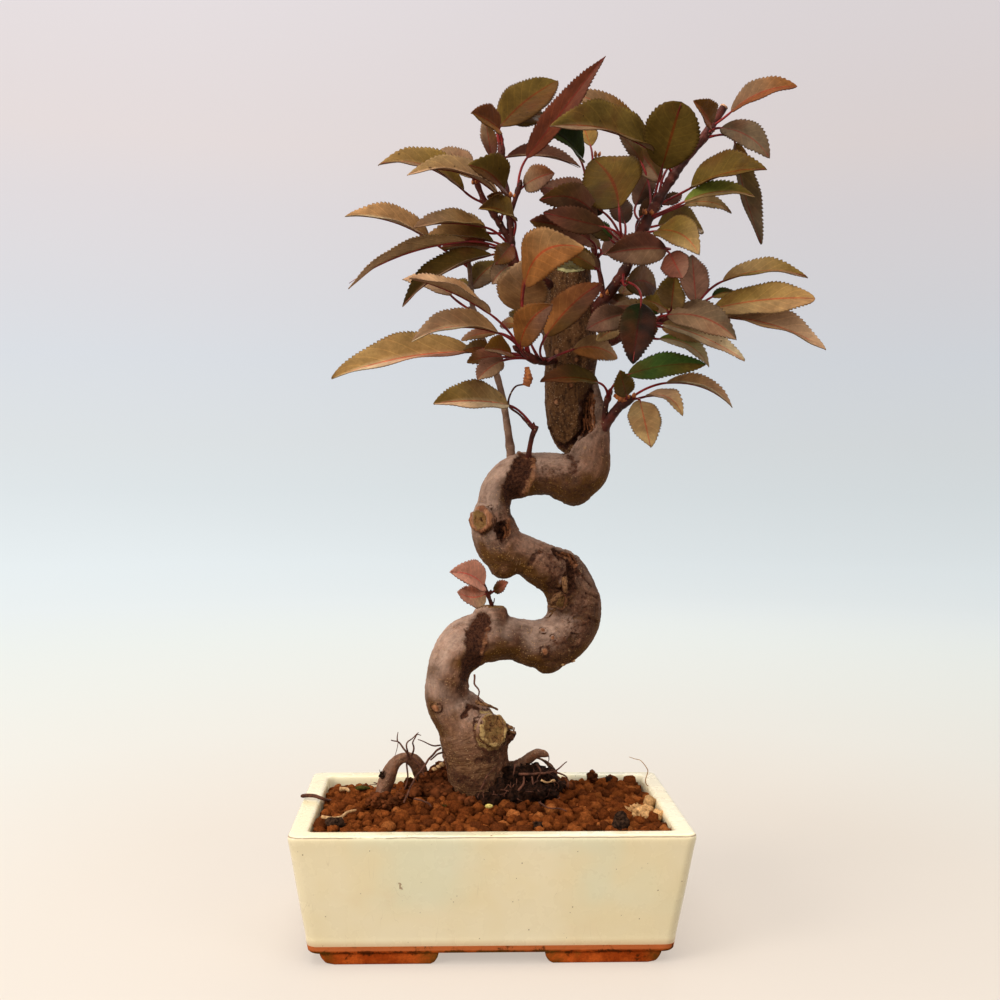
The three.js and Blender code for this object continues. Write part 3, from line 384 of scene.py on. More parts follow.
def skin(bm, rings):
    """A closed skin over rings of equal counts, with a flat face over each end"""
    count, steps = len(rings[0]), len(rings) - 1
    verts = bmesh.ops.create_grid(bm, x_segments=count, y_segments=steps, size=0.5)["verts"]
    for vert in verts:
        turn = round((vert.co.x + 0.5) * count) % count
        vert.co = rings[round((vert.co.y + 0.5) * steps)][turn]
    bmesh.ops.remove_doubles(bm, verts=verts, dist=1e-5)
    verts = [v for v in verts if v.is_valid]
    rims = {e for v in verts for e in v.link_edges if e.is_boundary}
    bmesh.ops.holes_fill(bm, edges=list(rims), sides=0)
    return verts


def tube(bm, path, radii, sides):
    """A closed tube along a path; returns its vertices"""
    rings = []
    for point, radius, (along, across, over) in zip(path, radii, frames_along(path)):
        angles = [2 * math.pi * k / sides for k in range(sides)]
        rings.append([point + (across * math.cos(a) + over * math.sin(a)) * radius for a in angles])
    return skin(bm, rings)


def roughen(verts, size, height):
    """Moves vertices along their normals by noise of that grain size"""
    for vert in verts:
        vert.normal_update()
    shifts = [vert.normal * noise.noise(vert.co / size) * height for vert in verts]
    for vert, shift in zip(verts, shifts):
        vert.co += shift


def mesh_of(bm):
    """Ends a bmesh as a smooth mesh"""
    mesh = bpy.data.meshes.new("part")
    bm.to_mesh(mesh)
    bm.free()
    mesh.shade_smooth()
    return mesh


def piece(name, mesh, finishes, slot, *nodes):
    """Puts a mesh in the row frame as a finished piece of the object"""
    mesh.transform(row_place)
    mesh.name = name
    for finish in finishes:
        mesh.materials.append(finish)
    thing = bpy.data.objects.new(name, mesh)
    bpy.context.scene.collection.objects.link(thing)
    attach(thing, "root")
    if nodes:
        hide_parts(*nodes)
    return thing


def outward(bm):
    bmesh.ops.recalc_face_normals(bm, faces=bm.faces)


def solid_piece(name, bm, finish, slot, *nodes):
    """Ends closed shells as a finished piece whose faces point outward"""
    outward(bm)
    return piece(name, mesh_of(bm), [finish], slot, *nodes)


# Small helpers for materials
def linear(red, green, blue):
    """The linear colour of a display colour from 0 to 255"""
    return (*[((c / 255 + 0.055) / 1.055) ** 2.4 if c > 10 else c / 3295 for c in (red, green, blue)], 1)


class Field:
    """A value that varies over a surface; arithmetic on it adds math nodes to its finish"""

    def __init__(self, finish, socket):
        self.finish = finish
        self.socket = socket

    def __abs__(self):
        return self.calc("ABSOLUTE")

    def __add__(self, other):
        return self.calc("ADD", other)

    def __sub__(self, other):
        return self.calc("SUBTRACT", other)

    def __rsub__(self, other):
        return self.finish.calc("SUBTRACT", other, self)

    def __mul__(self, other):
        return self.calc("MULTIPLY", other)

    def __truediv__(self, other):
        return self.calc("DIVIDE", other)

    def most(self, other):
        return self.calc("MAXIMUM", other)

    def calc(self, operation, other=0.0):
        return self.finish.calc(operation, self, other)

    def fade(self, low, high, to_low=0.0, to_high=1.0):
        """A soft step between two values of this field"""
        inputs = {0: self, 1: low, 2: high, 3: to_low, 4: to_high}
        return self.finish.field("MapRange", inputs, interpolation_type="SMOOTHSTEP")


class Finish:
    """A material built node by node, with a running colour; sizes are in millimetres"""

    def __init__(self, name, **surface):
        self.material = bpy.data.materials.new(name)
        self.material.use_nodes = True
        self.tree = self.material.node_tree
        self.tree.nodes.clear()
        self.shader = self.add("BsdfPrincipled")
        for socket, value in surface.items():
            self.shader.inputs[socket.replace("_", " ")].default_value = value
        end = self.add("OutputMaterial")
        self.tree.links.new(self.shader.outputs[0], end.inputs[0])
        self.place = self.field("TexCoord", output="Object")
        self.colour = None

    def add(self, kind, inputs=None, **settings):
        node = self.tree.nodes.new("ShaderNode" + kind)
        for key, value in settings.items():
            setattr(node, key, value)
        for key, value in (inputs or {}).items():
            self.feed(node.inputs[key], value)
        return node

    def field(self, kind, inputs=None, output=0, **settings):
        return Field(self, self.add(kind, inputs, **settings).outputs[output])

    def feed(self, socket, value):
        """Gives a socket a field or a plain value; three numbers for a colour go from 0 to 255"""
        if isinstance(value, Field):
            self.tree.links.new(value.socket, socket)
        elif socket.type == "RGBA" and len(value) == 3:
            socket.default_value = linear(*value)
        else:
            socket.default_value = value

    def attribute(self, name, output="Color"):
        return self.field("Attribute", output=output, attribute_name=name)

    def channels(self, name):
        """The red, green, blue and alpha of an attribute"""
        parts = self.add("SeparateColor", {0: self.attribute(name)}).outputs[:3]
        return [*[Field(self, part) for part in parts], self.attribute(name, "Alpha")]

    def split(self, vector):
        return [Field(self, part) for part in self.add("SeparateXYZ", {0: vector}).outputs[:3]]

    def stretched(self, x, y, z, place=None):
        """The place with its sides scaled, so that a pattern is drawn out"""
        return self.field("Mapping", {"Vector": place or self.place, "Scale": (x, y, z)})

    def grain(self, size, detail=3, roughness=0.55, distortion=0, place=None):
        return self.field("TexNoise", {
            "Vector": place or self.place, "Scale": 1 / (size * MM), "Detail": detail,
            "Roughness": roughness, "Distortion": distortion,
        }, "Fac")

    def cells(self, size, feature="F1", place=None):
        inputs = {"Vector": place or self.place, "Scale": 1 / (size * MM)}
        return self.field("TexVoronoi", inputs, "Distance", feature=feature)

    def calc(self, operation, a, b=0.0):
        return self.field("Math", {0: a, 1: b}, operation=operation)

    def mix(self, share, a, b, blend="MIX"):
        return self.field("Mix", {0: share, 6: a, 7: b}, 2, data_type="RGBA", blend_type=blend)

    def dimmed(self, colour, level):
        """The colour times a level"""
        return self.mix(1.0, colour, self.field("CombineColor", {0: level, 1: level, 2: level}), "MULTIPLY")

    def mottled(self, colour, value, low, high):
        """The colour made darker and lighter by a value from 0 to 1"""
        return self.dimmed(colour, value.fade(0.25, 0.75, low, high))

    def paint(self, share, colour):
        """Covers that share of the running colour with another"""
        self.colour = self.mix(share, self.colour, colour)

    def mottle(self, value, low, high):
        self.colour = self.mottled(self.colour, value, low, high)

    def bump(self, height, depth, strength=1.0):
        """Relief of that depth in millimetres, on top of the last relief"""
        node = self.add("Bump", {"Height": height, "Distance": depth * MM, "Strength": strength})
        normal = self.shader.inputs["Normal"]
        if normal.is_linked:
            self.tree.links.new(normal.links[0].from_socket, node.inputs["Normal"])
        self.tree.links.new(node.outputs[0], normal)

    def done(self, roughness):
        self.feed(self.shader.inputs["Base Color"], self.colour)
        self.feed(self.shader.inputs["Roughness"], roughness)
        return self.material


# Finishes
def leaf_finish(name, tone, upper):
    """A blade with pinnate veins, grooved above, raised and paler below"""
    finish = Finish(name, Specular_IOR_Level=0.03)
    finish.colour = finish.attribute(tone)
    place = finish.attribute("leaf_place", "Vector")
    along, side, _ = finish.split(place)
    reach = abs(side)
    other_half = side.calc("GREATER_THAN") * 0.5
    rise = reach * VEIN_SLANT
    count = along * VEIN_PAIRS - rise
    count = (count + other_half).calc("FRACT")
    near = abs(count - 0.5)
    vein = near.fade(0.42, 0.49)
    vein = vein * reach.fade(1.0, 0.7)
    net = finish.cells(1.3, "DISTANCE_TO_EDGE")

    finish.colour = finish.field("Gamma", {"Color": finish.colour, "Gamma": 1.06})
    finish.mottle(finish.grain(11, 4, 0.6, 0.6), 0.74, 1.26)
    finish.mottle(finish.grain(1.8, 3), 0.9, 1.1)
    blush = finish.grain(17, 2, 0.5).fade(0.48, 0.72, 0.0, 0.3)
    finish.paint(blush, (96, 44, 24))
    pale = finish.mix(1.0, finish.colour, (1.8, 1.7, 1.5, 1), "MULTIPLY")
    finish.paint(vein * (0.4 if upper else 0.55), pale)
    lace = net.fade(0.09, 0.0, 0.0, 0.12)
    finish.paint(lace, pale)
    crimson = finish.mix(1.0, finish.colour, (1.3, 0.4, 0.42, 1), "MULTIPLY")
    finish.paint(reach.fade(0.07, 0.025, 0.0, 0.75), crimson)
    finish.paint(reach.fade(0.88, 1.0, 0.0, 0.5), (58, 34, 20))
    spots = finish.cells(3.6).fade(0.13, 0.08)
    spots = spots * finish.grain(26, 1).fade(0.56, 0.62)
    finish.paint(spots * 0.8, (44, 26, 16))

    relief = -0.16 if upper else 0.2
    finish.bump(vein, abs(relief), 1.0 if relief > 0 else -1.0)
    finish.bump(net.fade(0.0, 0.12), 0.05 if upper else 0.08, 0.7)
    finish.bump(finish.grain(0.5, 2), 0.04, 0.6)
    gloss = (0.34, 0.52) if upper else (0.55, 0.72)
    return finish.done(finish.grain(5, 3).fade(0.3, 0.7, *gloss))


def stalk_finish():
    finish = Finish("crimson_stalk", Specular_IOR_Level=0.12)
    finish.colour = finish.mix(finish.grain(9, 3).fade(0.35, 0.65), (138, 40, 38), (92, 28, 29))
    finish.paint(finish.grain(3, 2).fade(0.55, 0.75, 0.0, 0.5), (124, 66, 38))
    finish.bump(finish.grain(0.6, 3), 0.06)
    return finish.done(finish.grain(2, 2).fade(0.3, 0.7, 0.35, 0.55))


def twig_finish(name, skin_colour, deep_colour, film_colour, film):
    """Smooth young bark with pale lenticels and a thin grey film"""
    finish = Finish(name, Specular_IOR_Level=0.1)
    finish.colour = finish.mix(finish.grain(7, 4).fade(0.35, 0.65), skin_colour, deep_colour)
    grey = finish.grain(4.5, 5, 0.7, 0.5).fade(0.5, 0.7, 0.0, film)
    finish.paint(grey, film_colour)
    dots = finish.cells(2.3).fade(0.17, 0.12)
    finish.paint(dots * 0.75, (176, 146, 112))
    finish.bump(dots, 0.12)
    finish.bump(finish.grain(1.1, 4, 0.65), 0.16)
    return finish.done(finish.grain(3, 3).fade(0.3, 0.7, 0.38, 0.62))


def bark_finish():
    """Old bark: grey purple skin with a pale film, partly its own grey skin and partly painted light on faces
    toward the lamps, olive undersides, open wounds, callus and flakes near the soil
    """
    finish = Finish("old_bark", Specular_IOR_Level=0.06)
    dark, callus, lip, punk = finish.channels("scars")
    top, under, low, old = finish.channels("shade")
    limb_place = finish.attribute("limb_place", "Vector")
    height = finish.split(finish.place)[2]
    sawn = height.fade(0.24, 0.26) * lip.fade(0.2, 0.45)
    skin = 1.0 - sawn
    streaked = finish.stretched(1, 1, 0.22, limb_place)
    ringed = finish.stretched(0.3, 0.3, 2.4, limb_place)

    cloud = finish.grain(15, 4, 0.6).fade(0.36, 0.64)
    streaks = finish.grain(2.6, 6, 0.72, 0.3, streaked)
    fine = finish.grain(1.5, 5, 0.75, 0.4)
    finish.colour = finish.mix(cloud, (130, 90, 68), (74, 46, 32))
    finish.mottle(streaks, 0.55, 1.42)
    finish.mottle(fine, 0.82, 1.15)
    # The pale film goes on faces toward the lamps (top): partly the bark's grey skin, partly painted light
    film = finish.grain(5.5, 5, 0.66, 0.4).fade(0.34, 0.56, 0.5, 1.0)
    finish.paint(film * top * 0.84 * (1.0 - under), (186, 154, 134))
    finish.mottle(finish.grain(3.2, 5, 0.7, 0.3, streaked), 0.8, 1.18)
    finish.mottle(fine, 0.84, 1.14)
    olive = under * finish.grain(8, 5, 0.65).fade(0.34, 0.6, 0.35, 0.92)
    finish.paint(olive, (96, 62, 22))
    rough_mix = (streaks * 0.5 + fine * 0.5).fade(0.4, 0.58)
    worn = finish.mix(rough_mix, (58, 37, 20), (122, 84, 50))
    finish.paint(old * 0.85, worn)
    rings = finish.grain(2.2, 5, 0.7, 0.5, ringed)
    flakes = finish.mix(rings.fade(0.4, 0.62), (86, 55, 36), (130, 94, 66))
    flakes = finish.mottled(flakes, fine, 0.62, 1.4)
    finish.paint(low * 0.75, flakes)
    cracks = abs(finish.grain(7, 5, 0.62, 0.6, streaked) - 0.5)
    cracks = cracks.fade(0.022, 0.0) * finish.grain(12, 2).fade(0.42, 0.6)
    finish.paint(cracks * 0.45, (46, 28, 20))
    specks = finish.cells(1.2).fade(0.34, 0.15)
    patches = finish.grain(6, 4).fade(0.48, 0.58)
    more = under.most(low.most(old))
    patches = patches.most(more * finish.grain(3.2, 3).fade(0.42, 0.55))
    specks = specks * patches
    golden = finish.mix(under, (180, 142, 106), (186, 140, 78))
    finish.paint(specks * 0.7, golden)
    dots = finish.cells(3.6, place=ringed).fade(0.14, 0.08)
    finish.paint(dots * 0.6, (178, 136, 98))

    crumble = finish.grain(1.3, 5, 0.75, 0.3)
    ragged = (finish.grain(2.4, 5, 0.7) - 0.5) * 1.1
    deep = finish.mix(crumble.fade(0.38, 0.64), (46, 25, 18), (94, 57, 38))
    finish.paint((dark + ragged).fade(0.22, 0.64), deep)
    swollen = finish.mix(streaks.fade(0.38, 0.62), (118, 68, 42), (184, 126, 88))
    finish.paint((callus + ragged).fade(0.25, 0.75, 0.0, 0.9), swollen)
    rind = finish.mix(finish.grain(2.5, 5, 0.7).fade(0.36, 0.62), (112, 78, 44), (184, 152, 98))
    finish.paint((lip + ragged).fade(0.3, 0.6), rind)
    sawn_wood = finish.mix(lip.fade(0.6, 0.92), (98, 86, 50), (176, 166, 116))
    sawn_wood = finish.mottled(sawn_wood, finish.grain(3.5, 4, 0.6), 0.55, 1.25)
    finish.paint(sawn, sawn_wood)
    heart = finish.mix(crumble.fade(0.36, 0.6), (58, 34, 19), (152, 108, 64))
    stained = finish.mix(finish.grain(3.4, 4, 0.6, 0.8).fade(0.46, 0.6), heart, (140, 106, 62))
    finish.paint((punk + ragged).fade(0.3, 0.6), stained)

    finish.bump(finish.grain(7, 4, 0.6) * skin, 0.8)
    finish.bump(streaks * skin, 0.9)
    finish.bump(rings * low, 0.22)
    finish.bump(fine * skin, 0.6)
    finish.bump(finish.grain(0.5, 4, 0.7), 0.25)
    finish.bump(cracks, 0.5, -1.0)
    finish.bump(specks + dots, 0.22)
    open_wood = dark.most(punk)
    finish.bump(crumble * open_wood, 1.0)
    rough = open_wood.most(low)
    shine = fine.fade(0.3, 0.7, 0.5, 0.72)
    return finish.done(shine + rough * 0.22)


def glaze_finish():
    """Pale cream glaze: faint blue-green pools, hair cracks, specks and a crawl line along the rim"""
    finish = Finish("cream_glaze", Specular_IOR_Level=0.5, Coat_Weight=0.3, Coat_Roughness=0.1)
    x, y, height = finish.split(finish.place)
    height = height - ground.z
    beyond_x = abs(x - ground.x)
    beyond_y = abs(y - ground.y)
    beyond_x = beyond_x - (POT_LENGTH / 2 - 4) * MM
    beyond_y = beyond_y - (POT_DEPTH / 2 - 4) * MM
    outer = beyond_x.most(beyond_y).fade(0.0, 0.001)
    cloud = finish.grain(52, 3).fade(0.35, 0.65)
    finish.colour = finish.mix(cloud, (240, 225, 188), (236, 218, 174))
    pools = finish.grain(42, 2, 0.4, 0.3).fade(0.46, 0.7, 0.0, 0.4)
    upper_wall = height.fade(0.02, 0.034)
    finish.paint(pools * upper_wall, (218, 226, 200))
    blush = finish.grain(21, 4, 0.55).fade(0.58, 0.78, 0.0, 0.18)
    finish.paint(blush, (226, 190, 150))
    drawn = finish.stretched(1, 1, 0.1)
    hairs = abs(finish.grain(9, 2, 0.5, 0.4, drawn) - 0.5)
    hairs = hairs.fade(0.006, 0.0) * finish.grain(16, 2).fade(0.5, 0.62)
    hairs = hairs * height.fade(0.056, 0.05)
    finish.paint(hairs * 0.22, (160, 134, 92))
    for size, reach, high in ((6.5, 0.06, 0.52), (11, 0.05, 0.46), (3.4, 0.085, 0.6)):
        pits = finish.cells(size).fade(reach, reach * 0.6)
        pits = pits * finish.grain(13, 3).fade(high - 0.06, high)
        finish.paint(pits * 0.8, (110, 74, 40))
    chip_x = x - (ground.x + chip.x * MM)
    chip_z = height - chip.z * MM
    ragged = (finish.grain(1.2, 3) - 0.5) * 0.003
    chip_x = abs(chip_x + ragged + chip_z * 0.4)
    mark = chip_x.fade(0.0008, 0.0003) * abs(chip_z).fade(0.002, 0.0012)
    mark = mark * y.calc("LESS_THAN", ground.y)
    finish.paint(mark * 0.8, (132, 88, 48))
    wobble = (finish.grain(11, 3) - 0.5) * 0.0007
    line = abs(height + wobble - 0.0593)
    line = line.fade(0.0004, 0.00012)
    line = line * outer
    line = line * finish.grain(9, 4).fade(0.28, 0.44)
    finish.paint(line * 0.75, (112, 76, 56))
    foot = height.fade(0.0125, 0.0085, 0.0, 0.6)
    finish.paint(foot, (204, 156, 108))
    finish.bump(finish.grain(18, 2), 0.3, 0.4)
    finish.bump(hairs, 0.04, -0.5)
    finish.bump(pits + line, 0.25, -1.0)
    gloss = finish.grain(10, 3).fade(0.3, 0.7, 0.2, 0.34)
    return finish.done(finish.mix(line, gloss, (0.8, 0.8, 0.8, 1)))


def clay_finish():
    """Unglazed red-brown stoneware with dark stains and a little algae"""
    finish = Finish("fired_clay", Specular_IOR_Level=0.0)
    _, _, height = finish.split(finish.place)
    height = height - ground.z
    finish.colour = finish.mix(finish.grain(10, 4).fade(0.35, 0.65), (192, 87, 32), (154, 61, 18))
    finish.mottle(finish.grain(1.2, 4, 0.7), 0.75, 1.2)
    band = height.fade(0.0064, 0.0072)
    finish.paint(band * 0.8, (200, 110, 62))
    seam = height.fade(0.0035, 0.0058) * height.fade(0.0072, 0.0062)
    seam = seam * 0.12
    stains = (finish.grain(5, 5, 0.7, 0.6) + seam).fade(0.56, 0.68, 0.0, 0.85)
    finish.paint(stains, (64, 32, 12))
    away = abs(finish.split(finish.place)[0] - ground.x)
    ends = away.fade(0.066, 0.076).most(away.fade(0.036, 0.025))
    ends = ends * height.fade(0.0075, 0.0055)
    ends = ends * finish.grain(5, 4, 0.6).fade(0.3, 0.6, 0.2, 0.85)
    algae = ends.most(finish.grain(17, 4, 0.6).fade(0.6, 0.72, 0.0, 0.5))
    finish.paint(algae, (104, 72, 24))
    finish.bump(finish.grain(0.8, 4, 0.7), 0.14)
    finish.bump(finish.grain(3.5, 3), 0.3, 0.6)
    return finish.done(finish.grain(4, 3).fade(0.3, 0.7, 0.72, 0.9))


def crumb_finish(name, tone):
    """Crumbly fired clay soil; the tone comes from each crumb, with painted shade towards its lower side, or
    from one colour
    """
    finish = Finish(name, Specular_IOR_Level=0.0)
    finish.colour = finish.attribute("crumb_tone") if tone is None else tone
    finish.mottle(finish.grain(1.1, 5, 0.75), 0.5, 1.45)
    finish.mottle(finish.grain(0.35, 3), 0.85, 1.15)
    finish.bump(finish.grain(0.9, 5, 0.78), 0.9)
    finish.bump(finish.grain(0.3, 3), 0.2)
    return finish.done(finish.grain(2, 2).fade(0.3, 0.7, 0.82, 0.97))


def plain_grain_finish(name, light, dark, size, depth, roughness, specular=0.2):
    """Two mottled colours with relief of one grain size, for the small natural pieces"""
    finish = Finish(name, Specular_IOR_Level=specular)
    finish.colour = finish.mix(finish.grain(size, 4, 0.65).fade(0.35, 0.65), light, dark)
    finish.mottle(finish.grain(size / 4, 3), 0.8, 1.2)
    finish.bump(finish.grain(size / 2, 4, 0.7), depth)
    return finish.done(finish.grain(size * 2, 2).fade(0.3, 0.7, *roughness))


chip = seen(400.6, 886.5, -57)
leaf_upper = leaf_finish("leaf_upper_face", "leaf_tone", True)
leaf_under = leaf_finish("leaf_lower_face", "leaf_under_tone", False)
crimson_stalk = stalk_finish()
red_twig = twig_finish("red_brown_twig", (92, 42, 32), (52, 26, 20), (120, 88, 74), 0.2)
grey_twig = twig_finish("grey_purple_twig", (134, 104, 86), (98, 70, 56), (160, 136, 118), 0.6)
old_bark = bark_finish()
cream_glaze = glaze_finish()
fired_clay = clay_finish()
crumbs = crumb_finish("clay_crumbs", None)
# The bed under the crumbs is darker than any crumb: painted shade for the gaps between them
shaded_soil_floor = crumb_finish("soil_shade_between_crumbs", (52, 27, 15))
wet_soil = plain_grain_finish("wet_soil", (50, 28, 17), (19, 11, 7), 1.8, 0.8, (0.55, 0.95), 0.04)
damp_soil = plain_grain_finish("damp_soil", (112, 60, 32), (62, 32, 16), 3.5, 0.8, (0.85, 0.97), 0.0)
root_skin = plain_grain_finish("root_skin", (102, 64, 48), (60, 37, 29), 2.0, 0.12, (0.65, 0.85), 0.06)
dry_husk = plain_grain_finish("dry_husk", (196, 118, 58), (142, 78, 44), 2.2, 0.15, (0.55, 0.75))
cut_wood = plain_grain_finish("cut_wood", (206, 160, 122), (160, 108, 78), 1.2, 0.1, (0.6, 0.8))
rusty_wood = plain_grain_finish("rusty_wood", (112, 66, 38), (60, 34, 20), 1.2, 0.4, (0.7, 0.9), 0.05)
torn_wood = plain_grain_finish("torn_wood", (140, 100, 66), (68, 43, 28), 1.3, 0.4, (0.7, 0.9), 0.05)
pale_fibre = plain_grain_finish("pale_root_fibre", (196, 158, 108), (150, 110, 70), 1.5, 0.08, (0.6, 0.8))
charcoal = plain_grain_finish("charcoal", (68, 48, 36), (27, 19, 15), 1.2, 0.4, (0.8, 0.95), 0.0)
yellow_husk = plain_grain_finish("yellow_husk", (212, 194, 112), (160, 138, 70), 1.0, 0.1, (0.5, 0.7), 0.1)
green_moss = plain_grain_finish("green_moss", (78, 74, 28), (44, 42, 18), 0.9, 0.2, (0.8, 0.95), 0.03)


# Colours of the blades: a leaf names those of its far half from base to tip, then those of its near half,
# or fewer if they repeat.
tones = {
    "olive": (90, 68, 27), "khaki": (122, 97, 48), "moss": (100, 80, 36),
    "dark_olive": (68, 52, 20), "bronze": (82, 56, 25), "ochre": (150, 119, 74),
    "orange": (134, 87, 46), "tan": (152, 116, 78), "peach": (176, 142, 110),
    "cream": (184, 164, 130), "pale": (140, 114, 76), "pink": (150, 96, 76),
    "pinkgrey": (134, 106, 80), "grey": (120, 95, 72), "mauve": (112, 80, 64),
    "maroon": (90, 54, 42), "brown": (68, 45, 27), "red_brown": (84, 41, 24),
    "rust": (114, 68, 40), "green": (54, 72, 28), "dark_green": (42, 50, 15),
    "plum": (44, 27, 17), "salmon": (198, 140, 118), "fresh": (104, 112, 48),
    "amber": (112, 76, 30), "blush": (172, 122, 98), "night": (27, 34, 12), "umber": (25, 16, 10),
    "slate": (90, 74, 56),
}


def petiole_root(stem, place):
    """Where a leaf's stalk meets the middle of its stem"""
    path, _ = stem_paths[stem]
    count = max(2, round(stem_lengths[stem] / STEM_STEP))
    share = place * (count - 0.2) / count * (len(path) - 1)
    whole = min(int(share), len(path) - 2)
    return path[whole].lerp(path[whole + 1], share - whole)


class Leaf:
    """One leaf's place: its stalk's root, the blade's base and tip, and the blade's own directions"""

    def __init__(self, names, row):
        (number, place, base_x, base_y, tip_x, tip_y, base_depth, tip_depth,
         self.width, turn, fold, self.arch, words, *blunt) = row
        self.stem = names[number]
        self.taper = blunt[0] if blunt else 0.82
        self.base = seen(base_x, base_y, base_depth)
        looks = (seen(tip_x, tip_y, base_depth) - self.base).length
        hidden = math.sqrt(max(0, (LEAF_SLENDERNESS * self.width) ** 2 - looks**2))
        lean = max(abs(tip_depth - base_depth), min(hidden, LEAF_LEAN))
        tip_depth = base_depth + (-lean if tip_depth < base_depth else lean)
        self.tip = seen(tip_x, tip_y, tip_depth)
        self.length = (self.tip - self.base).length
        if not blunt and self.length > 3.4 * self.width:
            self.taper = 1.0
        along = (self.tip - self.base).normalized()
        face = eye - self.base
        face = (face - along * face.dot(along)).normalized()
        self.up = along.cross(face)
        if self.up.z < 0:
            self.up.negate()
        angle = math.radians(turn)
        self.normal = face * math.cos(angle) + self.up * math.sin(angle)
        self.width *= 1.06
        self.side = self.up * math.cos(angle) - face * math.sin(angle)
        self.hand = 1 if self.side.cross(along).dot(self.normal) > 0 else -1
        self.fold = math.radians(fold)
        self.root = petiole_root(self.stem, place)
        words = words.split()
        self.tones = [Vector(linear(*tones[word])) for word in words * (4 // len(words))]

    def rib(self, t):
        return self.base.lerp(self.tip, t) + self.up * (self.arch * 4 * t * (1 - t))

    def stalk(self, steps):
        """The stalk's middles from the stem to the blade"""
        heading = (self.tip - self.base + self.up * (4 * self.arch)).normalized()
        bow = self.base - heading * (0.45 * (self.root - self.base).length)
        shares = [k / steps for k in range(steps + 1)]
        return [self.root * (1 - t) ** 2 + bow * (2 * t * (1 - t)) + self.base * t * t for t in shares]


def half_width(t, taper):
    """Share of the half width along the midrib: a rounded base, and a tip blunter for a smaller taper"""
    widest = 0.65 / (0.65 + taper)
    full = widest**0.65 * (1 - widest) ** taper
    return max(t, 0) ** 0.65 * max(1 - t, 0) ** taper / full


def add_blade(bm, layers, leaf, chance):
    """One serrated blade, folded along the midrib and puffed between its veins"""
    place_layer, tone_layer, under_layer = layers
    teeth = max(8, round(leaf.length / TOOTH_PITCH))
    rows = 3 * teeth
    made = bmesh.ops.create_grid(bm, x_segments=BLADE_COLUMNS, y_segments=rows, size=0.5)["verts"]
    tooth_depths = {(way, k): chance.uniform(0.65, 1.3) for way in (-1, 1) for k in range(teeth + 1)}
    phase = [chance.uniform(0, 1) for _ in range(4)]
    wave_height = leaf.width * chance.uniform(0.02, 0.045)
    seed = chance.random()
    upper_base, upper_tip, lower_base, lower_tip = [tone * chance.uniform(0.9, 1.1) for tone in leaf.tones]
    pale_under = Vector(linear(170, 138, 106))
    for vert in made:
        s = 2 * vert.co.x
        row = round((vert.co.y + 0.5) * rows)
        reach_share = abs(s)
        way = 1 if s > 0 else -1
        part = row % 3
        t = row / rows
        share = 1.0
        if reach_share > 0.99 and 0 < row < rows:
            depth = tooth_depths[way, row // 3] * min(1, 4 * t, 6 * (1 - t))
            bite = min(0.8 * depth / max(0.5, leaf.width / 2 * half_width(t, leaf.taper)), 0.42)
            share = 1 - bite * (1, 0.45, 0)[part]
            t = min(1, t + (0, 0.25, 0.7)[part] * min(1, depth) / rows)
        half = leaf.width / 2 * half_width(row / rows, leaf.taper) * share
        rise = math.sin(leaf.fold) * reach_share * (1.22 - 0.22 * reach_share)
        wave = wave_height * math.sin(2 * math.pi * (2.1 * t + phase[0 if s > 0 else 1])) * s * s
        puff_count = VEIN_PAIRS * t - VEIN_SLANT * reach_share + (0.5 if s > 0 else 0)
        puff = 0.2 * (0.5 - 0.5 * math.cos(2 * math.pi * puff_count)) * min(1, half / 4)
        puff *= smoothstep(0, 0.2, reach_share) * smoothstep(1, 0.8, reach_share)
        curl = leaf.length * 0.05 * smoothstep(0.7, 1, t) * (phase[2] - 0.3)
        out = leaf.hand * math.copysign(half, s) * reach_share * math.cos(leaf.fold)
        vert.co = leaf.rib(t) + leaf.side * out + leaf.normal * (half * rise + wave + puff - curl)
        vert[place_layer] = (row / rows, s, seed)
        blend = smoothstep(0.15, 0.95, row / rows + 0.25 * (phase[3] - 0.5))
        far_side = smoothstep(-0.2, 0.2, s * leaf.hand)
        tone = lower_base.lerp(lower_tip, blend).lerp(upper_base.lerp(upper_tip, blend), far_side)
        vert[tone_layer] = tone
        vert[under_layer] = tone.lerp(pale_under, 0.55)
    bmesh.ops.remove_doubles(bm, verts=made, dist=1e-4)
    return seed


def add_stalk(bm, leaf):
    """Stalk and midrib as one tapering cord, thick at the stem and thin at the tip"""
    stalk = leaf.stalk(12)
    ribs = max(8, round(leaf.length / 3.2))
    shares = [0.98 * (k + 1) / ribs for k in range(ribs)]
    rib = [leaf.rib(t) - leaf.normal * 0.24 for t in shares]
    radii = [1.0, 0.82, 0.68] + [0.58] * (len(stalk) - 5) + [0.54, 0.5]
    radii += [0.46 - 0.34 * t for t in shares]
    return tube(bm, stalk + rib, radii, 8)


def add_axil_bud(bm, leaf, chance):
    """A small pointed bud in the angle between the stalk and its stem"""
    path, _ = stem_paths[leaf.stem]
    nearest = min(range(len(path)), key=lambda k: (path[k] - leaf.root).length)
    ahead = path[min(nearest + 2, len(path) - 1)] - path[max(nearest - 2, 0)]
    outward_way = (leaf.stalk(6)[1] - leaf.root).normalized()
    start = leaf.root + outward_way * 1.3
    tip = start + (ahead.normalized() * 1.6 + outward_way).normalized() * chance.uniform(2.0, 3.0)
    size = chance.uniform(0.7, 0.95)
    path = [start.lerp(tip, k / 6) for k in range(7)]
    return tube(bm, path, [size * r for r in (0.7, 1.0, 1.05, 0.95, 0.72, 0.42, 0.1)], 8)


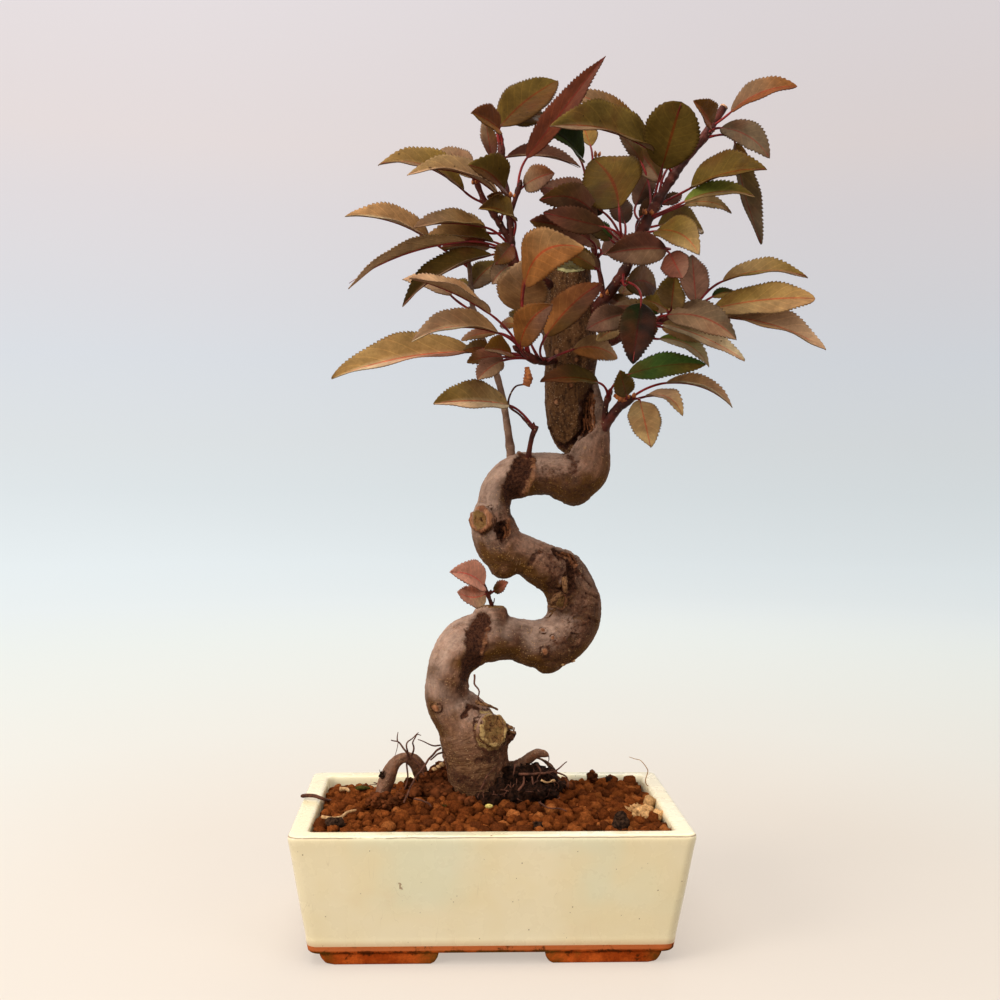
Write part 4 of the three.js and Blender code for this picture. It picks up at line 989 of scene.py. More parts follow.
def twig_rings(stem, owned):
    """A stem's middles and radii: swollen where leaves leave it, pointed at its end unless it was cut"""
    path, radii = stem_paths[stem]
    radii = list(radii)
    chance = random.Random(stem)
    for k, point in enumerate(path):
        swelling = sum(0.42 * math.exp(-(((point - leaf.root).length / 1.3) ** 2)) for leaf in owned)
        radii[k] *= 1 + 0.1 * noise.noise(point / 2.5) + 0.16 * max(0, noise.noise(point / 5.5))
        radii[k] += min(0.55, swelling) * min(1, radii[k] / 1.3)
    if stem not in ("right_branch", "forked_bud", "knee_branch", "forked_spur"):
        along = (path[-1] - path[-2]).normalized()
        end, last = path[-1], radii[-1]
        for reach, share in ((0.5, 1.12), (1.2, 1.2), (2.0, 1.05), (2.8, 0.7), (3.4, 0.35), (3.7, 0.08)):
            path = path + [end + along * reach]
            radii.append(last * share)
    return path, radii


stem_paths = {}
stem_lengths = {}
for stem, rows in stems.items():
    stem_paths[stem] = limb_path(rows, 0.8)
    path = stem_paths[stem][0]
    stem_lengths[stem] = sum((b - a).length for a, b in zip(path, path[1:]))

for name, names in shoots.items():
    chance = random.Random(name)
    owned = [Leaf(names, row) for row in leaves[name]]
    blades = bmesh.new()
    layers = (
        blades.verts.layers.float_vector.new("leaf_place"),
        blades.verts.layers.float_color.new("leaf_tone"),
        blades.verts.layers.float_color.new("leaf_under_tone"),
    )
    stalks = bmesh.new()
    twigs = bmesh.new()
    for leaf in owned:
        add_blade(blades, layers, leaf, chance)
        roughen(add_stalk(stalks, leaf), 1.5, 0.05)
        add_axil_bud(twigs, leaf, chance)
    for stem in names:
        path, radii = twig_rings(stem, [leaf for leaf in owned if leaf.stem == stem])
        roughen(tube(twigs, path, radii, 12), 1.4, 0.1)
    blade_piece = piece(name + "_blades", mesh_of(blades), [leaf_upper, leaf_under], "leaves", name)
    wall = blade_piece.modifiers.new("blade_thickness", "SOLIDIFY")
    wall.thickness = BLADE_THICKNESS * MM
    wall.offset = 0
    wall.material_offset = 1
    wall.material_offset_rim = 0
    solid_piece(name + "_stalks", stalks, crimson_stalk, "leaves", name)
    solid_piece(name + "_twigs", twigs, grey_twig if name == "left_whip" else red_twig, "bark", name)


# The trunk: limbs joined into one wooden body, then worked over with wounds, ridges and wrinkles
TRUNK_VOXEL = 0.71
CUT_TILT = math.radians(35)
cut_middle = seen(569.6, 261, 5)
cut_normal = Vector((0, -math.sin(CUT_TILT), math.cos(CUT_TILT)))


def evaluated_mesh(mesh, modifiers):
    """The mesh with these modifiers applied: each is a kind and its settings"""
    thing = bpy.data.objects.new("rough", mesh)
    bpy.context.scene.collection.objects.link(thing)
    for kind, settings in modifiers:
        modifier = thing.modifiers.new(kind, kind)
        for key, value in settings.items():
            setattr(modifier, key, value)
    shaped = bpy.data.meshes.new_from_object(thing.evaluated_get(bpy.context.evaluated_depsgraph_get()))
    bpy.data.objects.remove(thing)
    bpy.data.meshes.remove(mesh)
    return shaped


def joined_wood():
    """Trunk, stub, side stubs and roots as one smooth skin"""
    wood = bmesh.new()
    for rows in (trunk_rows, *side_limbs, *roots):
        path, radii = limb_path(rows, 1.6)
        tube(wood, path, radii, 28)
    for px, py, depth, radius in bulges:
        place = Matrix.Translation(seen(px, py, depth))
        bmesh.ops.create_icosphere(wood, subdivisions=3, radius=radius, matrix=place)
    stub = bmesh.new()
    path, radii = limb_path(stub_rows, 1.6)
    tube(stub, path, radii, 28)
    everything = stub.verts[:] + stub.edges[:] + stub.faces[:]
    bmesh.ops.bisect_plane(
        stub, geom=everything, plane_co=cut_middle, plane_no=cut_normal, clear_outer=True
    )
    bmesh.ops.holes_fill(stub, edges=[e for e in stub.edges if e.is_boundary], sides=0)
    outward(stub)
    sawn = mesh_of(stub)
    wood.from_mesh(sawn)
    bpy.data.meshes.remove(sawn)
    outward(wood)
    return evaluated_mesh(mesh_of(wood), [
        ("REMESH", {"mode": "VOXEL", "voxel_size": TRUNK_VOXEL, "adaptivity": 0}),
        ("SMOOTH", {"factor": 0.5, "iterations": 5}),
    ])


class Wood:
    """The trunk's vertices as arrays, with the place of each along and round its limb"""

    def __init__(self, mesh):
        self.mesh = mesh
        self.count = len(mesh.vertices)
        self.co = np.empty(self.count * 3)
        self.normal = np.empty(self.count * 3)
        mesh.vertices.foreach_get("co", self.co)
        mesh.vertices.foreach_get("normal", self.normal)
        self.co = self.co.reshape(-1, 3)
        self.normal = self.normal.reshape(-1, 3)
        self.shift = np.zeros(self.count)
        self.scars = np.zeros((self.count, 4))
        self.shade = np.zeros((self.count, 4))
        self.tree = BVHTree.FromPolygons(self.co.tolist(), [p.vertices for p in mesh.polygons])
        self.follow_limbs()

    def follow_limbs(self):
        """Sets place, a pair crosswise and a length along the nearest limb, and whether that is the stub"""
        spots = []
        for number, rows in enumerate((trunk_rows, stub_rows, *roots)):
            path, radii = limb_path(rows, 1.6)
            frames = frames_along(path)
            spots += [(p, f, 1.6 * k + 700 * number, number) for k, (p, f) in enumerate(zip(path, frames))]
        tree = KDTree(len(spots))
        for index, spot in enumerate(spots):
            tree.insert(spot[0], index)
        tree.balance()
        self.place = np.empty((self.count, 3))
        self.limb = np.empty(self.count, int)
        for k, co in enumerate(self.co):
            point = Vector(co)
            middle, (along, across, over), start, number = spots[tree.find(point)[1]]
            offset = point - middle
            self.place[k] = (offset.dot(across), offset.dot(over), start + offset.dot(along))
            self.limb[k] = number

    def noise(self, size, lengthwise=1.0, straight=False):
        """Noise at each vertex, drawn out along the limb by that factor"""
        base = self.co if straight else self.place
        scale = np.array((1, 1, 1 if straight else 1 / lengthwise)) / size
        return np.array([noise.noise(p) for p in base * scale])

    def hit(self, px, py):
        """Where the picture's pixel lies on the wood, and the wood's direction there"""
        ray = (seen(px, py, 0) - eye).normalized()
        point, normal, _, _ = self.tree.ray_cast(eye, ray)
        if point is None:
            point, normal, _, _ = self.tree.find_nearest(seen(px, py, -8))
        return np.array(point), np.array(normal)

    def hits(self, pixels):
        return [self.hit(*pixel)[0] for pixel in pixels]

    def near(self, points):
        """Distance of each vertex from a line through points"""
        best = np.full(self.count, 1e9)
        for a, b in zip(points, points[1:]):
            way = b - a
            share = np.clip(((self.co - a) @ way) / max(1e-9, way @ way), 0, 1)
            best = np.minimum(best, np.linalg.norm(self.co - a - share[:, None] * way, axis=1))
        return best

    def mark(self, channel, amount):
        self.scars[:, channel] = np.maximum(self.scars[:, channel], amount)

    def groove(self, pixels, width, depth, channel, amount, torn):
        """A more or less ragged groove along pixels, or a ridge where the depth is negative"""
        out = self.near(self.hits(pixels)) / width / (1 + torn * (0.75 * self.ragged + 0.35 * self.crumble))
        inside = smoothstep(1.3, 0.5, out)
        self.shift -= depth * inside * (1 + torn * (1.1 if depth > 0 else 0.3) * self.crumble)
        if depth > 0:
            self.shift += 0.45 * np.exp(-(((out - 1.5) / 0.3) ** 2))
        if channel is not None:
            self.mark(channel, smoothstep(1.6, 0.5, out) * amount)

    def spot(self, pixel, across, high):
        """Share of the way out from a pixel's place to an oval's edge, and which vertices are near"""
        middle, normal = self.hit(*pixel)
        side = np.array(picture_right) - normal * (np.array(picture_right) @ normal)
        side /= np.linalg.norm(side)
        over = np.cross(normal, side)
        offset = self.co - middle
        out = np.hypot(offset @ side / across, offset @ over / high)
        here = (np.abs(offset @ normal) < 1.2 * max(across, high)) & (self.normal @ normal > 0.2)
        return out * (1 + 0.3 * self.ragged + 0.12 * self.crumble), here

    def cut(self, pixel, across, high, lip, recess, channel, amount=1.0):
        """A healed pruning cut: a low lip round a sunken, crumbling face"""
        out, here = self.spot(pixel, across, high)
        face = smoothstep(0.95, 0.7, out) * here
        rim = np.exp(-(((out - 1.0) / 0.17) ** 2)) * here
        self.shift += lip * rim - recess * face * (1 + 0.9 * self.crumble)
        self.mark(PUNK, face * amount)
        self.mark(channel, rim * amount)
        self.mark(DARK, 0.6 * np.exp(-(((out - 1.3) / 0.14) ** 2)) * here)

    def knob(self, pixel, size, lift):
        """A dead bud: a little stump, bare on top and dark round its foot"""
        out, here = self.spot(pixel, size, size)
        self.shift += lift * smoothstep(1.1, 0.5, out) * here
        self.mark(CALLUS, smoothstep(0.85, 0.5, out) * here)
        self.mark(DARK, 0.75 * np.exp(-(((out - 1.15) / 0.2) ** 2)) * here)


DARK, CALLUS, LIP, PUNK = range(4)
wood = Wood(joined_wood())
wood.ragged = wood.noise(3.2, straight=True)
wood.crumble = wood.noise(1.3, straight=True)
is_trunk = wood.limb == 0
is_stub = wood.limb == 1

# Bark relief: long flutes, lumps, fine grain, and wrinkles across the swollen foot
height = wood.co[:, 2]
low = smoothstep(112, 84, height + 6 * wood.ragged) * is_trunk
wood.shift += 1.3 * wood.noise(14, 1.2) + 0.75 * wood.noise(6, 2.4) + 0.4 * wood.noise(2.6, 2.6)
wood.shift += 0.22 * wood.crumble
wood.shift += is_stub * (0.6 * wood.noise(3.0, 5.0) + 0.35 * wood.noise(1.4, 2.0))
wrinkle_turn = wood.place[:, 2] / 2.6 + 1.4 * wood.noise(7, 1.0)
wood.shift += low * 0.06 * np.sin(2 * np.pi * wrinkle_turn) * (0.6 + wood.noise(5))
wood.shift += low * 0.35 * np.maximum(0, wood.noise(2.6, 0.6))

# Wounds, by the pixel they are seen at
wood.cut((494, 729.6), 6.2, 8.3, 0.5, 0.9, LIP)
wood.cut((480, 519.7), 4.3, 4.5, 1.2, 0.9, CALLUS)
wood.cut((559, 601), 3.2, 3.8, 0.8, 0.5, CALLUS, 0.7)
wood.cut((579, 619), 3.9, 2.1, 0.6, 0.3, CALLUS, 0.36)
wood.cut((573.5, 639), 3.5, 2.9, 0.8, 0.5, DARK, 0.3)
for *pixel, size in ((543, 631, 1.6), (553, 638, 1.3), (545, 651, 2.0), (564, 664, 1.7), (572, 660.5, 1.5)):
    wood.knob(pixel, size, 0.9)
# A groove's or ridge's row: width, depth, mark, how strong, how torn, and the pixels that it runs along
for width, depth, channel, amount, torn, *pixels in (
    (5.0, 1.7, DARK, 1.0, 0.3, (526, 460), (521, 470), (516, 482), (513, 495)),
    (1.5, -1.1, CALLUS, 0.5, 0.3, (520, 455), (527, 453), (533, 459), (534, 469), (530, 482), (522, 495)),
    (3.2, 2.4, DARK, 1.0, 1.0, (503, 526), (501, 534)),
    (0.9, -0.4, CALLUS, 0.6, 1.0, (508, 520), (510, 530), (506, 538)),
    (4.8, 1.4, DARK, 0.85, 0.3, (481, 622), (476, 634), (477, 647), (471, 664), (468, 674)),
    (1.0, -0.6, CALLUS, 0.5, 1.0, (487, 628), (485, 642), (482, 654)),
    (3.3, 2.0, DARK, 1.0, 1.0, (561, 547), (569, 557), (573, 570), (569, 584), (563, 594)),
    (1.0, -0.6, CALLUS, 0.75, 1.0, (562, 546), (570, 556), (576, 566)),
    (3.6, 0.5, DARK, 0.5, 1.0, (552, 556), (553, 572), (553, 590)),
    (1.6, -1.2, None, 1.0, 1.0, (565, 458), (578, 447), (592, 434), (603, 423)),
    (1.2, 1.5, DARK, 1.0, 1.0, (551, 428), (556, 440), (564, 447), (573, 442), (583, 429)),
    (2.0, 0.7, DARK, 0.5, 1.0, (569, 456), (575, 462), (572, 470)),
    (3.0, 1.6, DARK, 1.0, 1.0, (588, 395), (586, 410), (587, 424), (583, 434)),
    (1.6, -0.5, CALLUS, 0.95, 1.0, (592, 396), (590, 412), (590, 430)),
    (1.3, 0.6, DARK, 0.6, 1.0, (540, 552), (534, 556), (530, 562)),
    (1.4, 0.7, DARK, 0.7, 1.0, (478, 708), (470, 706), (463, 716)),
    (2.4, 0.4, DARK, 0.5, 1.0, (478, 761), (490, 758), (502, 753), (508, 745)),
    (3.0, 0.7, DARK, 0.8, 1.0, (513, 738), (508, 752), (505, 766)),
    (0.9, 0.6, DARK, 0.55, 1.0, (583, 576), (592, 586)),
    (0.9, 0.6, DARK, 0.55, 1.0, (587, 593), (599, 598)),
    (0.9, 0.6, DARK, 0.55, 1.0, (584, 608), (598, 605)),
    (0.9, 0.6, DARK, 0.55, 1.0, (588, 618), (597, 622)),
):
    wood.groove(pixels, width, depth, channel, amount, torn)
wood.knob((436, 708), 2.4, 0.9)
for pixel in ((577, 360), (557, 352), (571, 385), (556, 402)):
    wood.knob(pixel, 1.5, 0.7)

# The flat cut on the first bend and the slanting cut of the stub
flat_cut = smoothstep(1.6, 0.6, np.abs(height - seen(491, 606.5, -5).z)) * (wood.normal[:, 2] > 0.8)
flat_cut *= np.linalg.norm(wood.co - np.array(seen(491.5, 606.5, -5)), axis=1) < 9
wood.mark(PUNK, flat_cut)
wood.mark(CALLUS, 0.36 * (wood.limb > 2))
wood.mark(DARK, 0.2 * (wood.limb > 2))
# Darker stretches: reach, how strong and pixels
for reach, amount, *pixels in (
    (9, 0.44, (556, 560), (568, 580), (574, 600), (585, 620), (572, 645), (552, 655)),
    (9, 0.4, (548, 474), (566, 480), (585, 488)), (8, 0.46, (500, 744), (508, 758), (500, 772)),
    (6, 0.3, (468, 690), (474, 705)), (7, 0.28, (532, 556), (545, 570)), (7, 0.22, (495, 560), (515, 566)),
    (6, 0.24, (474, 668), (500, 656)), (5, 0.5, (456, 776), (472, 782), (488, 784)),
):
    wood.mark(DARK, amount * smoothstep(1.5 * reach, 0.3 * reach, wood.near(wood.hits(pixels))))
plane = (wood.co - np.array(cut_middle)) @ np.array(cut_normal)
spread = np.linalg.norm(wood.co - np.array(cut_middle) - plane[:, None] * np.array(cut_normal), axis=1)
sawn = (plane > -0.7) & (wood.normal @ np.array(cut_normal) > 0.75) & (spread < 20)
out = spread / 10.4 + 0.05 * wood.ragged
wood.mark(LIP, sawn * (1 - 0.45 * smoothstep(1.0, 0.88, out)))
wood.shift += sawn * (0.12 * wood.crumble - 0.35 * smoothstep(0.8, 0.6, out))

# A pale film on faces toward the lamps, partly the bark's grey skin and partly painted light, olive below,
# brown flakes low down, and the old stub's worn bark
facing_lamps = wood.normal @ np.array((-0.58, -0.15, 0.8))
wood.shade[:, 0] = smoothstep(-0.3, 0.78, facing_lamps + 0.36 * wood.noise(8)) * (1 - low) * ~is_stub
wood.shade[:, 0] *= 1 - 0.75 * (wood.limb > 2)
# Less of the pale film, and so less painted light, along these stretches
for reach, *pixels in ((11, (518, 540), (540, 552), (566, 570)), (10, (601, 425), (602, 450), (582, 462))):
    away = wood.near(wood.hits(pixels))
    wood.shade[:, 0] *= 1 - 0.6 * smoothstep(1.6 * reach, 0.4 * reach, away)
wood.shade[:, 1] = smoothstep(0.15, -0.55, wood.normal[:, 2] + 0.4 * wood.noise(6)) * is_trunk
wood.shade[:, 2] = np.maximum(low, (wood.limb > 1) * 0.2)
wood.shade[:, 3] = is_stub * smoothstep(-0.9, 0.1, wood.noise(7) + (height - 205) / 60)

wood.co += wood.normal * wood.shift[:, None]
wood.mesh.vertices.foreach_set("co", wood.co.ravel())
for name, values in (("scars", wood.scars), ("shade", wood.shade)):
    layer = wood.mesh.attributes.new(name, "FLOAT_COLOR", "POINT")
    layer.data.foreach_set("color", np.clip(values, 0, 1).ravel())
layer = wood.mesh.attributes.new("limb_place", "FLOAT_VECTOR", "POINT")
layer.data.foreach_set("vector", (wood.place * MM).ravel())
wood.mesh.shade_smooth()
wood_tree = BVHTree.FromPolygons(wood.co.tolist(), [p.vertices for p in wood.mesh.polygons])
piece("trunk_wood", wood.mesh, [old_bark], "bark", "trunk")


# The pot: rows are the inset from the rim's outer edge, the height and the corner radius.
pot_profile = [
    (8.8, 5.6, 5.4), (8.3, 6.2, 5.4), (8.1, 7.4, 5.4), (7.7, 9.4, 5.4), (7.0, 14.2, 5.4), (5.5, 23.5, 5.3),
    (3.9, 33.4, 5.2), (2.4, 43.2, 5.1), (1.0, 52.2, 5), (0.1, 58.2, 4.6), (0.2, 59.2, 4.4),
    (0.75, 59.85, 4.2), (1.8, 60, 4), (5.4, 60, 4), (7.2, 60, 4), (8.2, 59.6, 4), (8.8, 58.4, 4.4),
    (9.4, 54, 5), (11.5, 36, 5), (13.5, 13.6, 5),
]


def rounded_ring(inset, z, radius, per_corner=9, per_side=14):
    """A rectangle with round corners, its straight sides cut into short steps"""
    half_length, half_depth = POT_LENGTH / 2 - inset, POT_DEPTH / 2 - inset
    ring = []
    for corner in range(4):
        middle_x = (half_length - radius) * (1 if corner in (0, 3) else -1)
        middle_y = (half_depth - radius) * (1 if corner < 2 else -1)
        angles = [math.pi / 2 * (corner + k / (per_corner - 1)) for k in range(per_corner)]
        ring += [
            Vector((middle_x + radius * math.cos(a), middle_y + radius * math.sin(a), z)) for a in angles
        ]
    closed = []
    for k, point in enumerate(ring):
        closed.append(point)
        if k % per_corner == per_corner - 1:
            after = ring[(k + 1) % len(ring)]
            closed += [point.lerp(after, j / per_side) for j in range(1, per_side)]
    return closed


def foot_ring(z, slope, sign_x, sign_y):
    """One level of an L-shaped foot, whose ends slope more than its outer faces"""
    right, front = FOOT_ACROSS - 0.7 * slope, FOOT_FRONT - 0.12 * slope
    left, back = FOOT_ACROSS - FOOT_LONG_ARM + slope, FOOT_FRONT - FOOT_SHORT_ARM + slope
    inner_x, inner_y = FOOT_ACROSS - FOOT_WIDTH, FOOT_FRONT - FOOT_WIDTH
    corners = [
        (right, front - 5), (right - 1.5, front - 1.5), (right - 5, front), (left, front),
        (left, inner_y), (inner_x, inner_y), (inner_x, back), (right, back),
    ]
    return [Vector((sign_x * x, sign_y * y, z)) for x, y in corners]


pot = bmesh.new()
path, radii = spaced([Vector((inset, z, 0)) for inset, z, _ in pot_profile], [r[2] for r in pot_profile], 0.9)
levels = [(max(0, p.x), min(POT_HEIGHT, max(5.6, p.y)), r) for p, r in zip(path, radii)]
skin(pot, [rounded_ring(*one) for one in levels])
outward(pot)
for vert in pot.verts:
    if vert.co.z > 12:
        vert.co.xy *= 1 - 0.0011 * (1 + noise.noise(vert.co / 26))
drills = bmesh.new()
for x in (-DRAIN_PLACE, DRAIN_PLACE):
    bmesh.ops.create_cone(
        drills, cap_ends=True, segments=40, radius1=DRAIN_RADIUS, radius2=DRAIN_RADIUS, depth=20,
        matrix=Matrix.Translation((x, 0, 9)),
    )
drill = bpy.data.objects.new("drill", mesh_of(drills))
bpy.context.scene.collection.objects.link(drill)
pot_mesh = evaluated_mesh(mesh_of(pot), [
    ("BOOLEAN", {"operation": "DIFFERENCE", "object": drill, "solver": "EXACT"}),
])
bpy.data.objects.remove(drill)
for face in pot_mesh.polygons:
    middle = face.center
    in_drain = middle.z < 13.5 and math.hypot(abs(middle.x) - DRAIN_PLACE, middle.y) < DRAIN_RADIUS + 0.5
    face.material_index = 1 if middle.z < GLAZE_LOW or in_drain else 0
pot_mesh.set_sharp_from_angle(angle=math.radians(50))
piece("pot_body", pot_mesh, [cream_glaze, fired_clay], "glaze", "pot")

feet = bmesh.new()
for sign_x in (1, -1):
    for sign_y in (1, -1):
        levels = ((0, 4), (0.9, 2.2), (3, 0.9), (FOOT_TOP, 0))
        skin(feet, [foot_ring(z, slope, sign_x, sign_y) for z, slope in levels])
outward(feet)
bmesh.ops.bevel(
    feet, geom=[e for e in feet.edges if e.calc_face_angle(0) > 0.5], offset=0.9, segments=3,
    profile=0.5, affect="EDGES", material=-1,
)
bmesh.ops.triangulate(feet, faces=[f for f in feet.faces if len(f.verts) > 4])
feet_mesh = mesh_of(feet)
feet_mesh.set_sharp_from_angle(angle=math.radians(40))
piece("pot_feet", feet_mesh, [fired_clay], "glaze", "pot")


# The soil: a bed darkened as painted shade between the crumbs, with crumbs of fired clay on it
def soil_height(x, y):
    trunk = seen(490, 790, 0)
    away = math.hypot((x - trunk.x) / 44, (y - trunk.y) / 34)
    low_corner = 5 * max(0, -x / 90) * max(0, y / 60)
    return SOIL_TOP + MOUND * math.exp(-away * away) - low_corner


def past_corner(x, y, margin):
    """Distance from the rectangle that lies a margin inside the soil's edge"""
    return math.hypot(max(0, abs(x) - BED_LENGTH / 2 + margin), max(0, abs(y) - BED_DEPTH / 2 + margin))


def on_soil(px, py, lift=0.0):
    """Where the picture's pixel meets the soil's surface, raised by a lift"""
    near, far = -75.0, 75.0
    for _ in range(30):
        depth = (near + far) / 2
        point = seen(px, py, depth)
        near, far = (depth, far) if point.z > soil_height(point.x, point.y) + lift else (near, depth)
    return point


def on_level(px, py, height):
    """Where the picture's pixel meets a level height"""
    eye_ray = seen(px, py, 10) - seen(px, py, 0)
    return seen(px, py, 0) + eye_ray * ((height - seen(px, py, 0).z) / eye_ray.z)


BED_STEP = 1.5
BED_LENGTH = 160
BED_DEPTH = 100
BED_BOTTOM = 14
CORNER_RADIUS = 6
bed = bmesh.new()
columns, lines = round(BED_LENGTH / BED_STEP), round(BED_DEPTH / BED_STEP)
surface = bmesh.ops.create_grid(bed, x_segments=columns, y_segments=lines, size=0.5)["verts"]
for vert in surface:
    x, y = vert.co.x * BED_LENGTH, vert.co.y * BED_DEPTH
    corner = past_corner(x, y, CORNER_RADIUS)
    if corner > CORNER_RADIUS:
        x -= math.copysign((corner - CORNER_RADIUS) * 0.7, x)
        y -= math.copysign((corner - CORNER_RADIUS) * 0.7, y)
    lumps = 1.3 * noise.noise(Vector((x, y, 0)) / 3.2) + 0.7 * noise.noise(Vector((x, y, 9)) / 1.5)
    vert.co = (x, y, soil_height(x, y) - 1.7 + lumps)
rim = [e for e in bed.edges if e.is_boundary]
walls = [v for v in bmesh.ops.extrude_edge_only(bed, edges=rim)["geom"] if isinstance(v, bmesh.types.BMVert)]
for vert in walls:
    vert.co = (vert.co.x * 0.96, vert.co.y * 0.95, BED_BOTTOM)
bmesh.ops.holes_fill(bed, edges=[e for e in bed.edges if e.is_boundary], sides=0)
solid_piece("soil_bed", bed, shaded_soil_floor, "soil", "soil")


def crumb_shapes(count, seed, cuts):
    """Some rounded crumbs, no two alike"""
    chance = random.Random(seed)
    shapes = []
    for _ in range(count):
        crumb = bmesh.new()
        bmesh.ops.create_cube(crumb, size=1)
        bmesh.ops.subdivide_edges(crumb, edges=crumb.edges[:], cuts=cuts, use_grid_fill=True)
        shift = Vector([chance.uniform(0, 50) for _ in range(3)])
        for vert in crumb.verts:
            way = vert.co.normalized()
            grain = 0.32 * noise.noise(way * 1.3 + shift) + 0.2 * noise.noise(way * 3 + shift)
            vert.co = vert.co.lerp(way * 0.56, 0.72) * (1 + grain)
        shapes.append(mesh_of(crumb))
    return shapes


crumb_tones = [
    ((116, 60, 26), 7), ((102, 51, 22), 6), ((130, 70, 32), 4), ((84, 42, 19), 3), ((146, 84, 42), 1),
]
wet_spots = [(490, 792, 26), (530, 788, 20), (455, 795, 14), (548, 782, 10)]


def crumb_tone(point, chance):
    """The colour of a crumb by where it lies: wet round the roots, cream at the right front"""
    base = chance.choices([tone for tone, _ in crumb_tones], [weight for _, weight in crumb_tones])[0]
    tone = Vector(linear(*base)) * chance.uniform(0.85, 1.15)
    for px, py, reach in wet_spots:
        wet = smoothstep(reach, reach * 0.4, (point - on_soil(px, py)).length)
        tone = tone.lerp(Vector(linear(34, 20, 13)), 0.9 * wet * chance.uniform(0.6, 1.0))
    if (point - cream_spot).length < 15 * chance.uniform(0.7, 1.1):
        tone = Vector(linear(208, 160, 106)) * chance.uniform(0.75, 1.15)
    return tone


cream_spot = on_soil(653, 812)
big_crumbs = crumb_shapes(12, 3, 2)
small_crumbs = crumb_shapes(10, 4, 1)
chance = random.Random(11)
heap = bmesh.new()
heap_tones_with_shade = []
CRUMB_LENGTH = BED_LENGTH - 2
CRUMB_DEPTH = BED_DEPTH - 2
CRUMB_MARGIN = 8
layers_of_crumbs = (
    (4.6, (3.6, 5.8), 0.0, big_crumbs),
    (3.2, (1.8, 3.3), 1.0, small_crumbs),
    (6.2, (3.2, 5.8), 2.4, big_crumbs),
)
for pitch, sizes, lift, shapes in layers_of_crumbs:
    for column in range(int(CRUMB_LENGTH / pitch) + 1):
        for line in range(int(CRUMB_DEPTH / pitch) + 1):
            x = -CRUMB_LENGTH / 2 + (column + 0.5 * (line % 2)) * pitch + chance.uniform(-0.4, 0.4) * pitch
            y = -CRUMB_DEPTH / 2 + line * pitch + chance.uniform(-0.4, 0.4) * pitch
            size = chance.uniform(*sizes)
            turn = Euler([chance.uniform(0, 6.28) for _ in range(3)]).to_matrix().to_4x4()
            stretch = Matrix.Diagonal((*[size * chance.uniform(0.8, 1.2) for _ in range(3)], 1))
            shape = chance.choice(shapes)
            corner = past_corner(x, y, CRUMB_MARGIN)
            z = soil_height(x, y) - 1.6 + lift + chance.uniform(-0.9, 0.9)
            point = Vector((x, y, z))
            surface, normal, _, gap = wood_tree.find_nearest(point)
            if corner > 7.5 or gap < 0.2 * size or (point - surface).dot(normal) < 0:
                continue
            crumb = shape.copy()
            crumb.transform(Matrix.Translation(point) @ turn @ stretch)
            heap.from_mesh(crumb)
            tone = np.array((*crumb_tone(point, chance)[:3], 1.0))
            # Painted shade: each crumb's colour darkens towards its lower side, for the gaps between crumbs
            lit = [smoothstep(-0.5, 0.35, (vert.co.z - z) / size) for vert in crumb.vertices]
            heap_tones_with_shade += [tone * (0.4 + 0.75 * share) for share in lit]
            bpy.data.meshes.remove(crumb)
for shape in big_crumbs + small_crumbs:
    bpy.data.meshes.remove(shape)
heap_mesh = mesh_of(heap)
layer = heap_mesh.attributes.new("crumb_tone", "FLOAT_COLOR", "POINT")
layer.data.foreach_set("color", np.array(heap_tones_with_shade).ravel())
piece("soil_crumbs", heap_mesh, [crumbs], "soil", "soil")


# Small natural pieces: clod, rootlets, husks, sawn ends, moss and what lies on the soil
def any_way(chance):
    return Vector([chance.gauss(0, 1) for _ in range(3)])


def along_pixels(rows):
    return [seen(*row) for row in rows]


def lump(bm, middle, size, chance, relief=0.3, detail=3):
    """A noisy lump, wider than high"""
    place = Matrix.Translation(middle) @ Matrix.Diagonal((*size, 1))
    verts = bmesh.ops.create_icosphere(bm, subdivisions=detail, radius=1, matrix=place)["verts"]
    shift = Vector([chance.uniform(0, 40) for _ in range(3)])
    for vert in verts:
        way = vert.co - middle
        grain = noise.noise(vert.co / (max(size) * 0.6) + shift) + 0.5 * noise.noise(vert.co / 1.4 + shift)
        vert.co = middle + way * (1 + relief * grain)
    return verts


def fine_tube(bm, points, thick, thin, sides=7, wriggle=0.0):
    """A thin tapering strand through points"""
    path, radii = spaced(points, list(np.linspace(thick, thin, len(points))), 1.1)
    if wriggle:
        path = [p + noise.noise_vector(p / 4) * wriggle for p in path]
    return tube(bm, path, radii, sides)


chance = random.Random(5)
clods = bmesh.new()
clod_rows = [
    (504, 778, -6, 5, 6.5), (515, 780, -8, 6, 6), (527, 778, -7, 6, 6), (539, 776, -4, 5.5, 5.5),
    (549, 780, -3, 4.5, 5), (557, 788, -3, 4, 3.6), (500, 791, -14, 6, 5), (515, 795, -16, 7, 4.4),
    (531, 792, -14, 7, 4.6), (546, 792, -10, 6, 4.2), (487, 800, -17, 6, 3.6),
]
for px, py, depth, wide, high in clod_rows:
    lump(clods, seen(px, py, depth), (wide, wide * 0.8, high), chance, 0.35, 2)
outward(clods)
clod_mesh = evaluated_mesh(mesh_of(clods), [
    ("REMESH", {"mode": "VOXEL", "voxel_size": 0.7, "adaptivity": 0}),
])
clod_bm = bmesh.new()
clod_bm.from_mesh(clod_mesh)
bpy.data.meshes.remove(clod_mesh)
roughen(clod_bm.verts, 4.0, 2.4)
roughen(clod_bm.verts, 1.6, 1.6)
roughen(clod_bm.verts, 0.8, 0.7)
piece("wet_root_clod", mesh_of(clod_bm), [wet_soil], "soil", "soil")
strands = bmesh.new()
